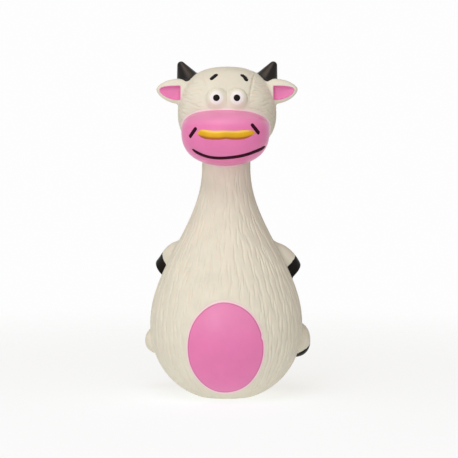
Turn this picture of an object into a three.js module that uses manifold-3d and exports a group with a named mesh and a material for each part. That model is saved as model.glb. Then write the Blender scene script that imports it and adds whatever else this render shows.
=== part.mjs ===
// A squeaky latex dog toy: a sitting cow with a pear-shaped body, a long neck and a round head.
// Millimetres, +Z up. The face looks along -Y, and left and right are the animal's own.
import * as THREE from "three";
import { mergeVertices } from "three/addons/utils/BufferGeometryUtils.js";
import Module from "manifold-3d";

const wasm = await Module();
wasm.setup();

// Walls and clearances that several pieces share.
const gap = 0.3; // left between neighbouring pieces
const skinWall = 2; // thickness of the latex
const overrun = 12; // how far a cutting solid runs past what it cuts
const inlayDepth = 0.8; // how deep a painted zone is let into the skin
const inlayProud = 0.25; // how far a painted zone stands out of the skin

// Body: a full oval below the belly ring, and a long cosine flare from it up to the neck.
const baseRadius = 15;
const basePower = 2.15; // 2 makes the oval an ellipse, and more makes it fuller
const bellyRadius = 41;
const bellyHeight = 39.2;
const flareHeight = 83.5;
const collarHeight = 4.3;
const neckRadius = 13;
const neckTop = bellyHeight + flareHeight + collarHeight;

// Head: a rounded form with its own half size each way, set on the neck.
const headRise = 25; // head centre above the top of the neck
const headShift = 0.5; // to the animal's left of the body's axis
const headForm = {
  centre: new THREE.Vector3(headShift, 0, neckTop + headRise),
  side: 26.4,
  front: 24.5,
  back: 24.5,
  up: 25.1,
  down: 22,
  upperPower: 2.4,
  lowerPower: 2.25,
  depthPower: 2.2,
};

// Muzzle: a second rounded form, ahead of the head's centre and below it.
const muzzleReach = 16;
const muzzleDrop = 9;
const muzzleForm = {
  centre: new THREE.Vector3(0, -muzzleReach, headForm.centre.z - muzzleDrop),
  side: 23.3,
  front: 20,
  back: 20,
  up: 11.3,
  down: 18.4,
  upperPower: 2.35,
  lowerPower: 2.4,
  depthPower: 2.3,
};

// Belly patch: an oval on the front of the body.
const patchHeight = 29.7; // its centre above the base
const patchShift = 0.5; // its centre to the animal's left
const patchHalfHeight = 25.5;
const patchHalfWidth = 20.6;
const patchHalfSides = 16;

// Nose ring: the lower half of a ring, lying across the muzzle.
const ringHalfSpan = 15.1;
const ringShift = 0.8; // to the animal's left of the muzzle's centre
const ringDrop = 0.9; // its right end below the muzzle's centre
const ringSag = 1.3; // its middle below its right end
const ringHalfHeight = 1.85;
const ringHalfDepth = 1.3;
const ringRoundEnd = 3;
const ringSagShares = [0, 0.8, 1, 0.8, 1, 0.7, -0.2]; // from its right end to its left

// Eyes and pupils: low domes on the face.
const eyeSpacing = 10.7;
const eyeShift = 0.4; // to the animal's left of the head's centre
const eyeRise = 8.2; // above the head's centre
const eyeRadius = 5.1;
const eyeBulge = 2.4;
const pupilRadius = 2.05;
const pupilDepth = 0.7;
const pupilProud = 0.3;

// Ears: flat leaves with a scooped front. The middle of each one's form is its root, above the
// head's centre and out at the head's side.
const earRise = 12.9;
const earForward = 4;
const earForm = {
  side: 11.3,
  front: 3.8,
  back: 3.8,
  up: 5.7,
  down: 7.6,
  upperPower: 1.7,
  lowerPower: 1.7,
  depthPower: 2.4,
};
const earScoopForward = 3.5; // the scoop's centre, from the ear's root
const earScoopDrop = 0.6;
const earScoopForm = {
  side: 9.6,
  front: 1.9,
  back: 1.9,
  up: 2.3,
  down: 4.9,
  upperPower: 2.6,
  lowerPower: 1.6,
  depthPower: 3,
};
const earLiningThickness = 0.7;

// Horns: stubby round cones that lean outwards. Insets are from the head's side, and depths from
// its top.
const hornSetBack = 0.8; // behind the middle of the head
const hornRootInset = 6;
const hornRootDepth = 8.4;
const hornRootRadius = 6.6;
const hornTipInset = 1.7;
const hornTipRise = 0.8; // the middle of the round tip above the top of the head
const hornTipRadius = 2.1;

// Arms: each lies on the body from shoulder to hoof. Angles run back from the side, in degrees,
// and a lift is how far the middle of the arm lies outside the skin. The hoof is the part between
// two planes whose normals point outwards and tilt down. The first lies behind the wrist by
// wristBack, and the second ahead of the wrist by hoofLength.
const armRadius = 5.6;
const armRoundRoot = 5;
const arms = {
  left: {
    side: 1,
    wristTilt: 43,
    wristBack: 0.7,
    soleTilt: 41,
    hoofLength: 6.2,
    shoulder: { angle: 8, height: 78.5, lift: -6.5 },
    elbow: { angle: 14, height: 75.7, lift: 0 },
    wrist: { angle: 17, height: 70.9, lift: 2.9 },
    end: { angle: 20, height: 61.1, lift: 3.9 },
  },
  right: {
    side: -1,
    wristTilt: 24,
    wristBack: 1.8,
    soleTilt: 35,
    hoofLength: 5.5,
    shoulder: { angle: 10, height: 79, lift: -6.5 },
    elbow: { angle: 18, height: 76.3, lift: 0 },
    wrist: { angle: 23, height: 70.4, lift: 2.8 },
    end: { angle: 27, height: 62.5, lift: 7.2 },
  },
};

// Hind legs: oval pads on the flanks, each with a hoof below. The drop is how far the hoof's upper
// edge lies beyond the middle of the pad, along the way that the sole faces.
const legForm = {
  side: 8,
  front: 12.5,
  back: 12.5,
  upperPower: 2.2,
  lowerPower: 2.2,
  depthPower: 2.2,
};
const legs = {
  left: { side: 1, angle: 29, height: 28, lift: 1.5, up: 10.6, down: 9.6, drop: 4.9 },
  right: { side: -1, angle: 33, height: 27.4, lift: 2.3, up: 8.6, down: 8, drop: 5.6 },
};
const legSoleShares = { left: [0.5, 0.2, 0.85], right: [0.5, 1, 0.85] }; // out, back and down

// Tail: a cord in relief up the back, with a tuft.
const tailRadius = 2.3;
const tailTuftRadius = 4.1;
const tailTuftTipRadius = 2.4;
const tailRoundTuft = 3;
const tailRoundRoot = 2.3;
const tailPath = [
  { angle: 90, height: 15.5, lift: -1.2 },
  { angle: 92, height: 22, lift: -0.6 },
  { angle: 87, height: 29, lift: -0.6 },
  { angle: 81, height: 34, lift: -0.8 },
  { angle: 76, height: 38, lift: -1.4 },
  { angle: 70, height: 43, lift: -1.8 },
];
const tailTuftPoint = 3; // the tuft starts at this point of the path

// Squeaker: a flanged plastic cup snapped into the base, with a reed unit on its cap.
const flangeRecess = 0.5; // the flange above the floor
const flangeRadius = 11;
const flangeThickness = 1.2;
const seatWeb = 2; // latex gripped between the flange and the barb
const grooveRadius = 8.5;
const barbRadius = 10;
const barbLand = 1;
const barbTaper = 1.6;
const cupHeight = 15.5;
const cupTopWall = 1.2;
const cupWall = 2.3;
const inletRadius = 1.3;
const inletCircle = 3.9; // radius of the circle that the inlets lie on
const inletCount = 4;
const capRadius = 6.7;
const capThickness = 1.5;
const ventRadius = 1.5;
const socketWall = 1.2;
const socketHeight = 4.2;
const reedUnitRadius = 4;
const reedBlockHeight = 10.6;
const channelWidth = 2.4;
const channelDepth = 2;
const channelRoof = 1.5;
const clampHeight = 4;
const reedWidth = 4.4;
const reedThickness = 0.3;
const reedTipBack = 0.7; // the reed's tip below the top of its block
const reedFloor = 0.4; // the reed's root above the cap

// How many sides and rings the round solids have.
const roundSides = 24;
const bodyCounts = { sides: 32, rings: 18 };
const headCounts = { sides: 28, rings: 16 };
const hollowCounts = { sides: 18, rings: 10 };
const legCounts = { sides: 20, rings: 12 };
const earCounts = { sides: 20, rings: 12 };
const eyeCounts = { sides: 14, rings: 8 };
const pupilCounts = { sides: 10, rings: 6 };
const ringCounts = { sides: 12, steps: 12 };
const hornCounts = { sides: 16, steps: 4 };
const armCounts = { sides: 18, steps: 12 };
const tailCounts = { sides: 12, steps: 14 };
const inletSides = 10;

const latexCream = { color: 0xe6dfcb, roughness: 0.6, metalness: 0 };
const latexPink = { color: 0xe487b6, roughness: 0.5, metalness: 0 };
const latexBlack = { color: 0x1f1b18, roughness: 0.4, metalness: 0 };
const paintYellow = { color: 0xd9a52c, roughness: 0.45, metalness: 0 };
const paintWhite = { color: 0xf1ece8, roughness: 0.45, metalness: 0 };
const plasticWhite = { color: 0xececea, roughness: 0.4, metalness: 0 };
const reedFilm = { color: 0xd8dde2, roughness: 0.25, metalness: 0 };
const fibreWhite = { color: 0xf4f4f2, roughness: 0.95, metalness: 0 };

// A closed geometry as a solid that can be joined and cut.
function solid(geometry) {
  const bare = new THREE.BufferGeometry();
  bare.setAttribute("position", geometry.getAttribute("position"));
  bare.setIndex(geometry.index);
  const merged = mergeVertices(bare);
  const vertProperties = merged.attributes.position.array;
  const triVerts = new Uint32Array(merged.index.array);
  return new wasm.Manifold(new wasm.Mesh({ numProp: 3, vertProperties, triVerts }));
}

// A solid back as a geometry.
function geometryOf(shape) {
  const mesh = shape.getMesh();
  const geometry = new THREE.BufferGeometry();
  const position = new THREE.BufferAttribute(new Float32Array(mesh.vertProperties), 3);
  geometry.setAttribute("position", position);
  geometry.setIndex(new THREE.BufferAttribute(new Uint32Array(mesh.triVerts), 1));
  geometry.computeVertexNormals();
  return geometry;
}

// A profile of [radius, height] points turned round the Z axis.
function turned(profile, sides) {
  const points = profile.map(([r, z]) => new THREE.Vector2(r, z));
  return solid(new THREE.LatheGeometry(points, sides).rotateX(Math.PI / 2));
}

function cylinder(radius, low, high, sides = roundSides) {
  const tube = new THREE.CylinderGeometry(radius, radius, high - low, sides);
  tube.rotateX(Math.PI / 2).translate(0, 0, (low + high) / 2);
  return solid(tube);
}

function box(low, high) {
  const size = high.clone().sub(low);
  const centre = low.clone().add(high).multiplyScalar(0.5);
  const block = new THREE.BoxGeometry(size.x, size.y, size.z);
  return solid(block.translate(centre.x, centre.y, centre.z));
}

// How far out of a form's middle line a point lies, as a share, seen from the front.
function outlineShare(form, x, z, grow) {
  const power = z > 0 ? form.upperPower : form.lowerPower;
  const across = Math.abs(x) / (form.side + grow);
  const along = Math.abs(z) / ((z > 0 ? form.up : form.down) + grow);
  return (across ** power + along ** power) ** (1 / power);
}

// The distance from a form's centre to its surface along a unit direction.
function formReach(form, { x, y, z }, grow) {
  const outline = outlineShare(form, x, z, grow);
  const depth = Math.abs(y) / ((y < 0 ? form.front : form.back) + grow);
  return (outline ** form.depthPower + depth ** form.depthPower) ** (-1 / form.depthPower);
}

// A rounded form about the origin, larger than its stated sizes by grow.
function formGeometry(form, grow, { sides, rings }) {
  const ball = new THREE.SphereGeometry(1, sides, rings).rotateX(Math.PI / 2);
  const position = ball.getAttribute("position");
  const point = new THREE.Vector3();
  for (let i = 0; i < position.count; i += 1) {
    point.fromBufferAttribute(position, i).normalize();
    point.multiplyScalar(formReach(form, point, grow));
    position.setXYZ(i, point.x, point.y, point.z);
  }
  return ball;
}

function roundedForm(form, grow, counts) {
  const { x, y, z } = form.centre;
  return solid(formGeometry(form, grow, counts).translate(x, y, z));
}

// The point on a form's front, at x and z measured from the form's centre.
function frontOf(form, x, z) {
  const outline = Math.min(1, outlineShare(form, x, z, 0));
  const depth = form.front * (1 - outline ** form.depthPower) ** (1 / form.depthPower);
  return new THREE.Vector3(x, -depth, z).add(form.centre);
}

// The body's radius at a height.
function bodyRadius(z) {
  if (z < bellyHeight) {
    const baseShare = (1 - (baseRadius / bellyRadius) ** basePower) ** (1 / basePower);
    const share = (baseShare * (bellyHeight - z)) / bellyHeight;
    return bellyRadius * (1 - share ** basePower) ** (1 / basePower);
  }
  const risen = Math.min(1, (z - bellyHeight) / flareHeight);
  return neckRadius + ((bellyRadius - neckRadius) * (1 + Math.cos(Math.PI * risen))) / 2;
}

// The radius at a height of the body's side moved outwards by grow.
function grownRadius(z, grow) {
  const step = bellyHeight / 1000;
  const slope = (bodyRadius(z + step) - bodyRadius(z - step)) / (2 * step);
  return bodyRadius(z) + grow * Math.hypot(1, slope);
}

// The body as a solid between two heights, larger by grow all round.
function bodyForm(grow, low, high, { sides, rings }) {
  const profile = [[0, low]];
  for (let i = 0; i <= rings; i += 1) {
    const share = i / rings;
    const spaced = share - Math.sin(2 * Math.PI * share) / (4 * Math.PI);
    const z = low + (high - low) * spaced;
    profile.push([grownRadius(z, grow), z]);
  }
  profile.push([0, high]);
  return turned(profile, sides);
}

// A point on the body: an angle back from the side in degrees, a height and a lift off the skin.
function onBody(side, { angle, height, lift }) {
  const turn = THREE.MathUtils.degToRad(angle);
  const reach = bodyRadius(height) + lift;
  return new THREE.Vector3(side * reach * Math.cos(turn), reach * Math.sin(turn), height);
}

// The space on the far side of a plane through a point, set back along its normal.
function beyond(point, normal, setBack) {
  const reach = bellyRadius + headForm.side;
  const block = new THREE.BoxGeometry(2 * reach, 2 * reach, 2 * reach);
  const turn = new THREE.Quaternion().setFromUnitVectors(new THREE.Vector3(0, 0, 1), normal);
  block.translate(0, 0, reach + setBack).applyQuaternion(turn);
  return solid(block.translate(point.x, point.y, point.z));
}

// A closed surface over rings of points, with a point at each end.
function overRings(start, rings, end) {
  const sides = rings[0].length;
  const points = [start, ...rings.flat(), end];
  const last = points.length - 1;
  const triangles = [];
  for (let k = 0; k < sides; k += 1) {
    const next = (k + 1) % sides;
    triangles.push(0, 1 + k, 1 + next);
    for (let i = 0; i + 1 < rings.length; i += 1) {
      const low = 1 + i * sides;
      const high = low + sides;
      triangles.push(low + k, high + k, high + next);
      triangles.push(low + k, high + next, low + next);
    }
    const top = 1 + (rings.length - 1) * sides;
    triangles.push(top + k, last, top + next);
  }
  const geometry = new THREE.BufferGeometry().setFromPoints(points);
  geometry.setIndex(triangles);
  return solid(geometry);
}

// A limb along a path. halfSizes gives [across, along the reference] at a share of its length.
// Each end is flat, or rounded over the length given for it.
function limb({ path, halfSizes, reference, roundStart = 0, roundEnd = 0, sides, steps }) {
  const capSteps = 3;
  const length = path.getLength();
  const stations = [];
  const startShare = roundStart / length;
  const endShare = roundEnd / length;
  for (let k = 1; roundStart > 0 && k < capSteps; k += 1) {
    const turn = (Math.PI / 2) * (k / capSteps);
    stations.push({ share: startShare * (1 - Math.cos(turn)), scale: Math.sin(turn) });
  }
  for (let k = 0; k <= steps; k += 1) {
    const share = startShare + (1 - startShare - endShare) * (k / steps);
    stations.push({ share, scale: 1 });
  }
  for (let k = capSteps - 1; roundEnd > 0 && k > 0; k -= 1) {
    const turn = (Math.PI / 2) * (k / capSteps);
    stations.push({ share: 1 - endShare * (1 - Math.cos(turn)), scale: Math.sin(turn) });
  }
  const rings = stations.map(({ share, scale }) => {
    const centre = path.getPointAt(share);
    const along = path.getTangentAt(share);
    const across = along.clone().cross(reference).normalize();
    const up = across.clone().cross(along).normalize();
    const [wide, high] = halfSizes(share);
    return Array.from({ length: sides }, (_, k) => {
      const turn = (2 * Math.PI * k) / sides;
      return centre
        .clone()
        .addScaledVector(across, wide * scale * Math.cos(turn))
        .addScaledVector(up, high * scale * Math.sin(turn));
    });
  });
  return overRings(path.getPointAt(0), rings, path.getPointAt(1));
}

function curveThrough(points) {
  return new THREE.CatmullRomCurve3(points, false, "centripetal");
}

const bodyWithGap = bodyForm(gap, 0, neckTop, bodyCounts);
const headWithGap = roundedForm(headForm, gap, headCounts);
const neckWithGap = cylinder(neckRadius + gap, bellyHeight, neckTop + overrun);
const seatTop = flangeRecess + flangeThickness + seatWeb;

// The oval through the front of the body that bounds the belly patch, larger by grow.
function patchPrism(grow) {
  const oval = new THREE.Shape();
  const across = patchHalfWidth + grow;
  const along = patchHalfHeight + grow;
  oval.absellipse(patchShift, patchHeight, across, along, 0, 2 * Math.PI, false, 0);
  const depth = bellyRadius + overrun;
  const options = { depth, bevelEnabled: false, curveSegments: patchHalfSides };
  return solid(new THREE.ExtrudeGeometry(oval, options).rotateX(Math.PI / 2));
}

// The body's skin: hollow, with a stepped seat for the squeaker in its base.
function bodyShell() {
  const hollow = bodyForm(-skinWall, seatTop, neckTop + overrun, hollowCounts);
  const hole = cylinder(grooveRadius + gap, -overrun, seatTop + skinWall);
  const recess = cylinder(flangeRadius + gap, -overrun, flangeRecess + flangeThickness);
  const patchDepth = -inlayDepth - gap;
  const patchRecess = patchPrism(gap).subtract(bodyForm(patchDepth, 0, neckTop, bodyCounts));
  const skin = bodyForm(0, 0, neckTop, bodyCounts).subtract(hollow);
  return skin.subtract(hole).subtract(recess).subtract(patchRecess);
}

function bellyPatch() {
  const outside = bodyForm(inlayProud, 0, neckTop, bodyCounts);
  const skin = outside.subtract(bodyForm(-inlayDepth, 0, neckTop, bodyCounts));
  return skin.intersect(patchPrism(0));
}

// The head's skin, with the top of the neck below it and a window behind the muzzle.
function headShell() {
  const stub = cylinder(neckRadius, neckTop + gap, headForm.centre.z, bodyCounts.sides);
  const throat = cylinder(neckRadius - skinWall, neckTop - overrun, headForm.centre.z);
  const hollow = roundedForm(headForm, -skinWall, hollowCounts).add(throat);
  const window = roundedForm(muzzleForm, -skinWall, hollowCounts);
  return roundedForm(headForm, 0, headCounts).add(stub).subtract(hollow).subtract(window);
}

function muzzle() {
  const hollow = roundedForm(muzzleForm, -skinWall, hollowCounts);
  const outer = roundedForm(muzzleForm, 0, headCounts);
  return outer.subtract(hollow).subtract(headWithGap).subtract(neckWithGap);
}

function noseRing() {
  const points = ringSagShares.map((share, i) => {
    const x = ringShift + ringHalfSpan * ((2 * i) / (ringSagShares.length - 1) - 1);
    return frontOf(muzzleForm, x, -ringDrop - ringSag * share);
  });
  const bar = limb({
    path: curveThrough(points),
    halfSizes: () => [ringHalfDepth, ringHalfHeight],
    reference: new THREE.Vector3(0, 0, 1),
    roundStart: ringRoundEnd,
    roundEnd: ringRoundEnd,
    ...ringCounts,
  });
  return bar.subtract(roundedForm(muzzleForm, gap, headCounts));
}

// An eye's dome as a form, for the side at +1 or -1.
function eyeForm(side) {
  return {
    centre: frontOf(headForm, eyeShift + (side * eyeSpacing) / 2, eyeRise),
    side: eyeRadius,
    front: eyeBulge,
    back: eyeBulge,
    up: eyeRadius,
    down: eyeRadius,
    upperPower: 2,
    lowerPower: 2,
    depthPower: 2,
  };
}

function pupilForm(side) {
  const eye = eyeForm(side);
  const centre = eye.centre.clone();
  centre.y -= eyeBulge + pupilProud - pupilDepth;
  return {
    centre,
    side: pupilRadius,
    front: pupilDepth,
    back: pupilDepth,
    up: pupilRadius,
    down: pupilRadius,
    upperPower: 2,
    lowerPower: 2,
    depthPower: 2,
  };
}

function eye(side) {
  const form = eyeForm(side);
  const between = headForm.centre.clone().setX(headForm.centre.x + eyeShift);
  const otherHalf = beyond(between, new THREE.Vector3(-side, 0, 0), -gap / 2);
  const dome = roundedForm(form, 0, eyeCounts).subtract(headWithGap).subtract(otherHalf);
  const dimple = roundedForm(pupilForm(side), gap, pupilCounts);
  return dome.subtract(roundedForm(muzzleForm, gap, headCounts)).subtract(dimple);
}

function pupil(side) {
  return roundedForm(pupilForm(side), 0, pupilCounts);
}

// A place on the head, from its centre: out to one side, forward and up.
function onHead(side, out, forward, rise) {
  return new THREE.Vector3(side * out, -forward, rise).add(headForm.centre);
}

function earBlank(side, grow) {
  const centre = onHead(side, headForm.side, earForward, earRise);
  return roundedForm({ ...earForm, centre }, grow, earCounts);
}

// The scoop in an ear's front, larger by grow and moved forward.
function earScoop(side, grow, forward) {
  const ahead = earForward + earScoopForward + forward;
  const centre = onHead(side, headForm.side, ahead, earRise - earScoopDrop);
  return roundedForm({ ...earScoopForm, centre }, grow, earCounts);
}

function ear(side) {
  return earBlank(side, 0).subtract(headWithGap).subtract(earScoop(side, gap, 0));
}

function earLining(side) {
  const bowl = earScoop(side, 0, 0).subtract(earScoop(side, 0, earLiningThickness));
  return bowl.intersect(earBlank(side, 0)).subtract(headWithGap);
}

function horn(side) {
  const { side: halfWidth, up } = headForm;
  const root = onHead(side, halfWidth - hornRootInset, -hornSetBack, up - hornRootDepth);
  const tip = onHead(side, halfWidth - hornTipInset, -hornSetBack, up + hornTipRise);
  const along = tip.clone().sub(root).normalize();
  const start = root.clone().addScaledVector(along, -hornRootRadius);
  const end = tip.clone().addScaledVector(along, hornTipRadius);
  const length = start.distanceTo(end);
  const blank = limb({
    path: new THREE.LineCurve3(start, end),
    halfSizes: (share) => {
      const past = (share * length - hornRootRadius) / root.distanceTo(tip);
      const shrunk = THREE.MathUtils.clamp(past, 0, 1);
      const radius = hornRootRadius + (hornTipRadius - hornRootRadius) * shrunk;
      return [radius, radius];
    },
    reference: new THREE.Vector3(0, 1, 0),
    roundStart: hornRootRadius,
    roundEnd: hornTipRadius,
    ...hornCounts,
  });
  return blank.subtract(headWithGap).subtract(earBlank(side, gap));
}

// Both sides of a blank that is parted by a plane, with the gap between them.
function parted(blank, point, normal) {
  const near = blank.subtract(beyond(point, normal, -gap / 2));
  const far = blank.intersect(beyond(point, normal, gap / 2));
  return { near, far };
}

// The share of a path's length at which it passes its point number index.
function shareAt(points, index) {
  const lengths = points.slice(1).map((point, i) => point.distanceTo(points[i]));
  const sum = (list) => list.reduce((total, length) => total + length, 0);
  return sum(lengths.slice(0, index)) / sum(lengths);
}

// A direction straight out of the body at a point, tilted down.
function outward(point, tilt) {
  const down = THREE.MathUtils.degToRad(tilt);
  const normal = point.clone().setZ(0).normalize().multiplyScalar(Math.cos(down));
  return normal.setZ(-Math.sin(down));
}

// An arm and its hoof, as { near, far }.
function armParts({ side, wristTilt, wristBack, soleTilt, hoofLength, ...places }) {
  const { shoulder, elbow, wrist, end } = places;
  const points = [shoulder, elbow, wrist, end].map((place) => onBody(side, place));
  const blank = limb({
    path: curveThrough(points),
    halfSizes: () => [armRadius, armRadius],
    reference: new THREE.Vector3(0, 1, 0),
    roundStart: armRoundRoot,
    ...armCounts,
  });
  const pastSole = beyond(points[2], outward(points[2], soleTilt), hoofLength);
  const cut = blank.subtract(bodyWithGap).subtract(pastSole);
  const normal = outward(points[2], wristTilt);
  return parted(cut, points[2].clone().addScaledVector(normal, -wristBack), normal);
}

// A hind leg's pad and its hoof, as { near, far }.
function legParts(place, [out, back, down]) {
  const { side, up, drop } = place;
  const turn = THREE.MathUtils.degToRad(place.angle);
  const facing = side > 0 ? turn : Math.PI - turn;
  const centre = onBody(side, place);
  const pad = formGeometry({ ...legForm, up, down: place.down }, 0, legCounts).rotateZ(facing);
  const blank = solid(pad.translate(centre.x, centre.y, centre.z)).subtract(bodyWithGap);
  const normal = new THREE.Vector3(side * out, back, -down).normalize();
  return parted(blank, centre.clone().addScaledVector(normal, drop), normal);
}

// The tail and its tuft, as { near, far }.
function tailParts() {
  const points = tailPath.map((place) => onBody(1, place));
  const path = curveThrough(points);
  const tuftShare = shareAt(points, tailTuftPoint);
  const blank = limb({
    path,
    halfSizes: (share) => {
      const past = Math.max(0, (share - tuftShare) / (1 - tuftShare));
      const ends = tailRadius + (tailTuftTipRadius - tailRadius) * past;
      const radius = ends + (tailTuftRadius - ends) * Math.sin(Math.PI * past);
      return [radius, radius];
    },
    reference: new THREE.Vector3(0, 1, 0),
    roundStart: tailRoundRoot,
    roundEnd: tailRoundTuft,
    ...tailCounts,
  });
  const cut = blank.subtract(bodyWithGap);
  return parted(cut, path.getPointAt(tuftShare), path.getTangentAt(tuftShare));
}

// The stuffing: one soft mass from the base through the neck into the head and muzzle.
function fibreFilling() {
  const inset = -skinWall - gap;
  const pocketTop = flangeRecess + cupHeight + gap;
  const pocket = cylinder(barbRadius + gap, -overrun, pocketTop);
  const floor = cylinder(bellyRadius, -overrun, seatTop + gap);
  const trunk = bodyForm(inset, seatTop, neckTop + overrun, hollowCounts).subtract(floor);
  const head = roundedForm(headForm, inset, hollowCounts);
  const nose = roundedForm(muzzleForm, inset, hollowCounts).subtract(neckWithGap);
  return trunk.add(head).add(nose).subtract(pocket);
}

function squeakerCup() {
  const low = flangeRecess;
  const cupBore = grooveRadius - cupWall;
  const flangeTop = low + flangeThickness;
  const barbLow = flangeTop + seatWeb + gap;
  const capTop = low + capThickness;
  const top = low + cupHeight;
  const profile = [
    [capRadius + gap, low],
    [flangeRadius, low],
    [flangeRadius, flangeTop],
    [grooveRadius, flangeTop],
    [grooveRadius, barbLow],
    [barbRadius, barbLow],
    [barbRadius, barbLow + barbLand],
    [grooveRadius, barbLow + barbLand + barbTaper],
    [grooveRadius, top],
    [0, top],
    [0, top - cupTopWall],
    [cupBore, top - cupTopWall],
    [cupBore, capTop],
    [capRadius + gap, capTop],
    [capRadius + gap, low],
  ];
  let cup = turned(profile, roundSides);
  for (let i = 0; i < inletCount; i += 1) {
    const turn = (2 * Math.PI * i) / inletCount + Math.PI / inletCount;
    const hole = new THREE.CylinderGeometry(inletRadius, inletRadius, 3 * cupTopWall, inletSides);
    hole.rotateX(Math.PI / 2);
    hole.translate(inletCircle * Math.cos(turn), inletCircle * Math.sin(turn), top);
    cup = cup.subtract(solid(hole));
  }
  return cup;
}

function squeakerCap() {
  const low = flangeRecess;
  const capTop = low + capThickness;
  const socketTop = capTop + socketHeight;
  const socketBore = reedUnitRadius + gap;
  const socketOutside = socketBore + socketWall;
  const profile = [
    [ventRadius, low],
    [capRadius, low],
    [capRadius, capTop],
    [socketOutside, capTop],
    [socketOutside, socketTop],
    [socketBore, socketTop],
    [socketBore, capTop],
    [ventRadius, capTop],
    [ventRadius, low],
  ];
  return turned(profile, roundSides);
}

const reedUnitLow = flangeRecess + capThickness;
const reedFace = reedThickness / 2 + gap; // each face beside the reed, from its middle plane

// The half round with the air channel that the reed beats on.
function reedBlock() {
  const top = reedUnitLow + reedBlockHeight;
  const round = cylinder(reedUnitRadius, reedUnitLow, top);
  const farSide = box(
    new THREE.Vector3(-overrun, -reedFace, 0),
    new THREE.Vector3(overrun, overrun, top + overrun),
  );
  const channel = box(
    new THREE.Vector3(-channelWidth / 2, -reedFace - channelDepth, 0),
    new THREE.Vector3(channelWidth / 2, overrun, top - channelRoof),
  );
  return round.subtract(farSide).subtract(channel);
}

// The shorter half round that holds the reed's root against the block.
function reedClamp() {
  const round = cylinder(reedUnitRadius, reedUnitLow, reedUnitLow + clampHeight);
  const nearSide = box(
    new THREE.Vector3(-overrun, -overrun, 0),
    new THREE.Vector3(overrun, reedFace, cupHeight + overrun),
  );
  return round.subtract(nearSide);
}

function reed() {
  const low = reedUnitLow + reedFloor;
  const high = reedUnitLow + reedBlockHeight - reedTipBack;
  return box(
    new THREE.Vector3(-reedWidth / 2, -reedThickness / 2, low),
    new THREE.Vector3(reedWidth / 2, reedThickness / 2, high),
  );
}

const toy = new THREE.Group();

function place(name, shape, finish) {
  const mesh = new THREE.Mesh(geometryOf(shape), new THREE.MeshStandardMaterial(finish));
  mesh.name = name;
  toy.add(mesh);
}

place("body_shell", bodyShell(), latexCream);
place("belly_patch", bellyPatch(), latexPink);
place("head_shell", headShell(), latexCream);
place("muzzle", muzzle(), latexPink);
place("nose_ring", noseRing(), paintYellow);

const tail = tailParts();
place("tail", tail.near, latexCream);
place("tail_tuft", tail.far, latexBlack);

for (const [name, side] of [["left", 1], ["right", -1]]) {
  const arm = armParts(arms[name]);
  const leg = legParts(legs[name], legSoleShares[name]);
  place(`eyeball_${name}`, eye(side), paintWhite);
  place(`pupil_${name}`, pupil(side), latexBlack);
  place(`ear_${name}`, ear(side), latexCream);
  place(`ear_lining_${name}`, earLining(side), latexPink);
  place(`horn_${name}`, horn(side), latexBlack);
  place(`arm_${name}`, arm.near, latexCream);
  place(`arm_hoof_${name}`, arm.far, latexBlack);
  place(`leg_${name}`, leg.near, latexCream);
  place(`leg_hoof_${name}`, leg.far, latexBlack);
}

place("fibre_filling", fibreFilling(), fibreWhite);
place("squeaker_cup", squeakerCup(), plasticWhite);
place("squeaker_cap", squeakerCap(), plasticWhite);
place("reed_block", reedBlock(), plasticWhite);
place("reed_clamp", reedClamp(), plasticWhite);
place("reed", reed(), reedFilm);

export default toy;
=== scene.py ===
import math
from functools import partial
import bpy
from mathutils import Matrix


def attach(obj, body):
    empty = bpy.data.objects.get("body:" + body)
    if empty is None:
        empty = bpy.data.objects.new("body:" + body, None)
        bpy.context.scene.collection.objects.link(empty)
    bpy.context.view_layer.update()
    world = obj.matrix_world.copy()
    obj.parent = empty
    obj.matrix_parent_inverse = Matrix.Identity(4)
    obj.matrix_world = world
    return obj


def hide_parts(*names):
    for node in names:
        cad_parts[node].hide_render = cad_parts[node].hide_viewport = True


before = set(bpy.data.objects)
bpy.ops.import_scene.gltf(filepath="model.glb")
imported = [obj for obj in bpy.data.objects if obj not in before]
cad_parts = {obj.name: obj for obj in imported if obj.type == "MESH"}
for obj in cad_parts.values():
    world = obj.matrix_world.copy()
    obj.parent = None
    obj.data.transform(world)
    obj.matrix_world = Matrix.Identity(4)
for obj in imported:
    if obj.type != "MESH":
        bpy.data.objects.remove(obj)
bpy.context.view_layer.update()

from types import SimpleNamespace

import bpy
import numpy as np
import openvdb
from mathutils import Vector

# Sizes are in millimetres, as in the CAD source, and MM turns them into the frame's metres.
# The face looks along -Y, and left and right are the animal's own.
MM = 0.001
SIDES = {"left": 1, "right": -1}


def form(centre, side, front, back, up, down, upper_power, lower_power, depth_power):
    """A rounded form: half sizes each way, and how square its outline is above and below."""
    return SimpleNamespace(
        centre=np.array(centre, float), side=side, front=front, back=back, up=up, down=down,
        upper_power=upper_power, lower_power=lower_power, depth_power=depth_power,
    )


def dome(centre, radius, depth):
    """A form that is round as the camera sees it."""
    return form(centre, side=radius, front=depth, back=depth, up=radius, down=radius,
                upper_power=2, lower_power=2, depth_power=2)


# The body is turned about the Z axis: a belly that starts at the base, and a flare up to the neck.
BASE_RADIUS = 15
BASE_POWER = 2.15
BELLY_RADIUS = 41
BELLY_HEIGHT = 39.2
FLARE_HEIGHT = 83.5
COLLAR_HEIGHT = 4.3
NECK_RADIUS = 13
NECK_TOP = BELLY_HEIGHT + FLARE_HEIGHT + COLLAR_HEIGHT
NECK_OVERLAP = 8  # how far the neck's field reaches up into the head
NECK_FILLET = 4
NECK_END = 5  # the last ring of the neck's skin, inside the head
NECK_CAP_RISE = 0.2
BODY_SIDES = 700
BODY_ROWS = 132
BODY_FIRST_STEP = 0.5
PROFILE_POINTS = 4000

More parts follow.
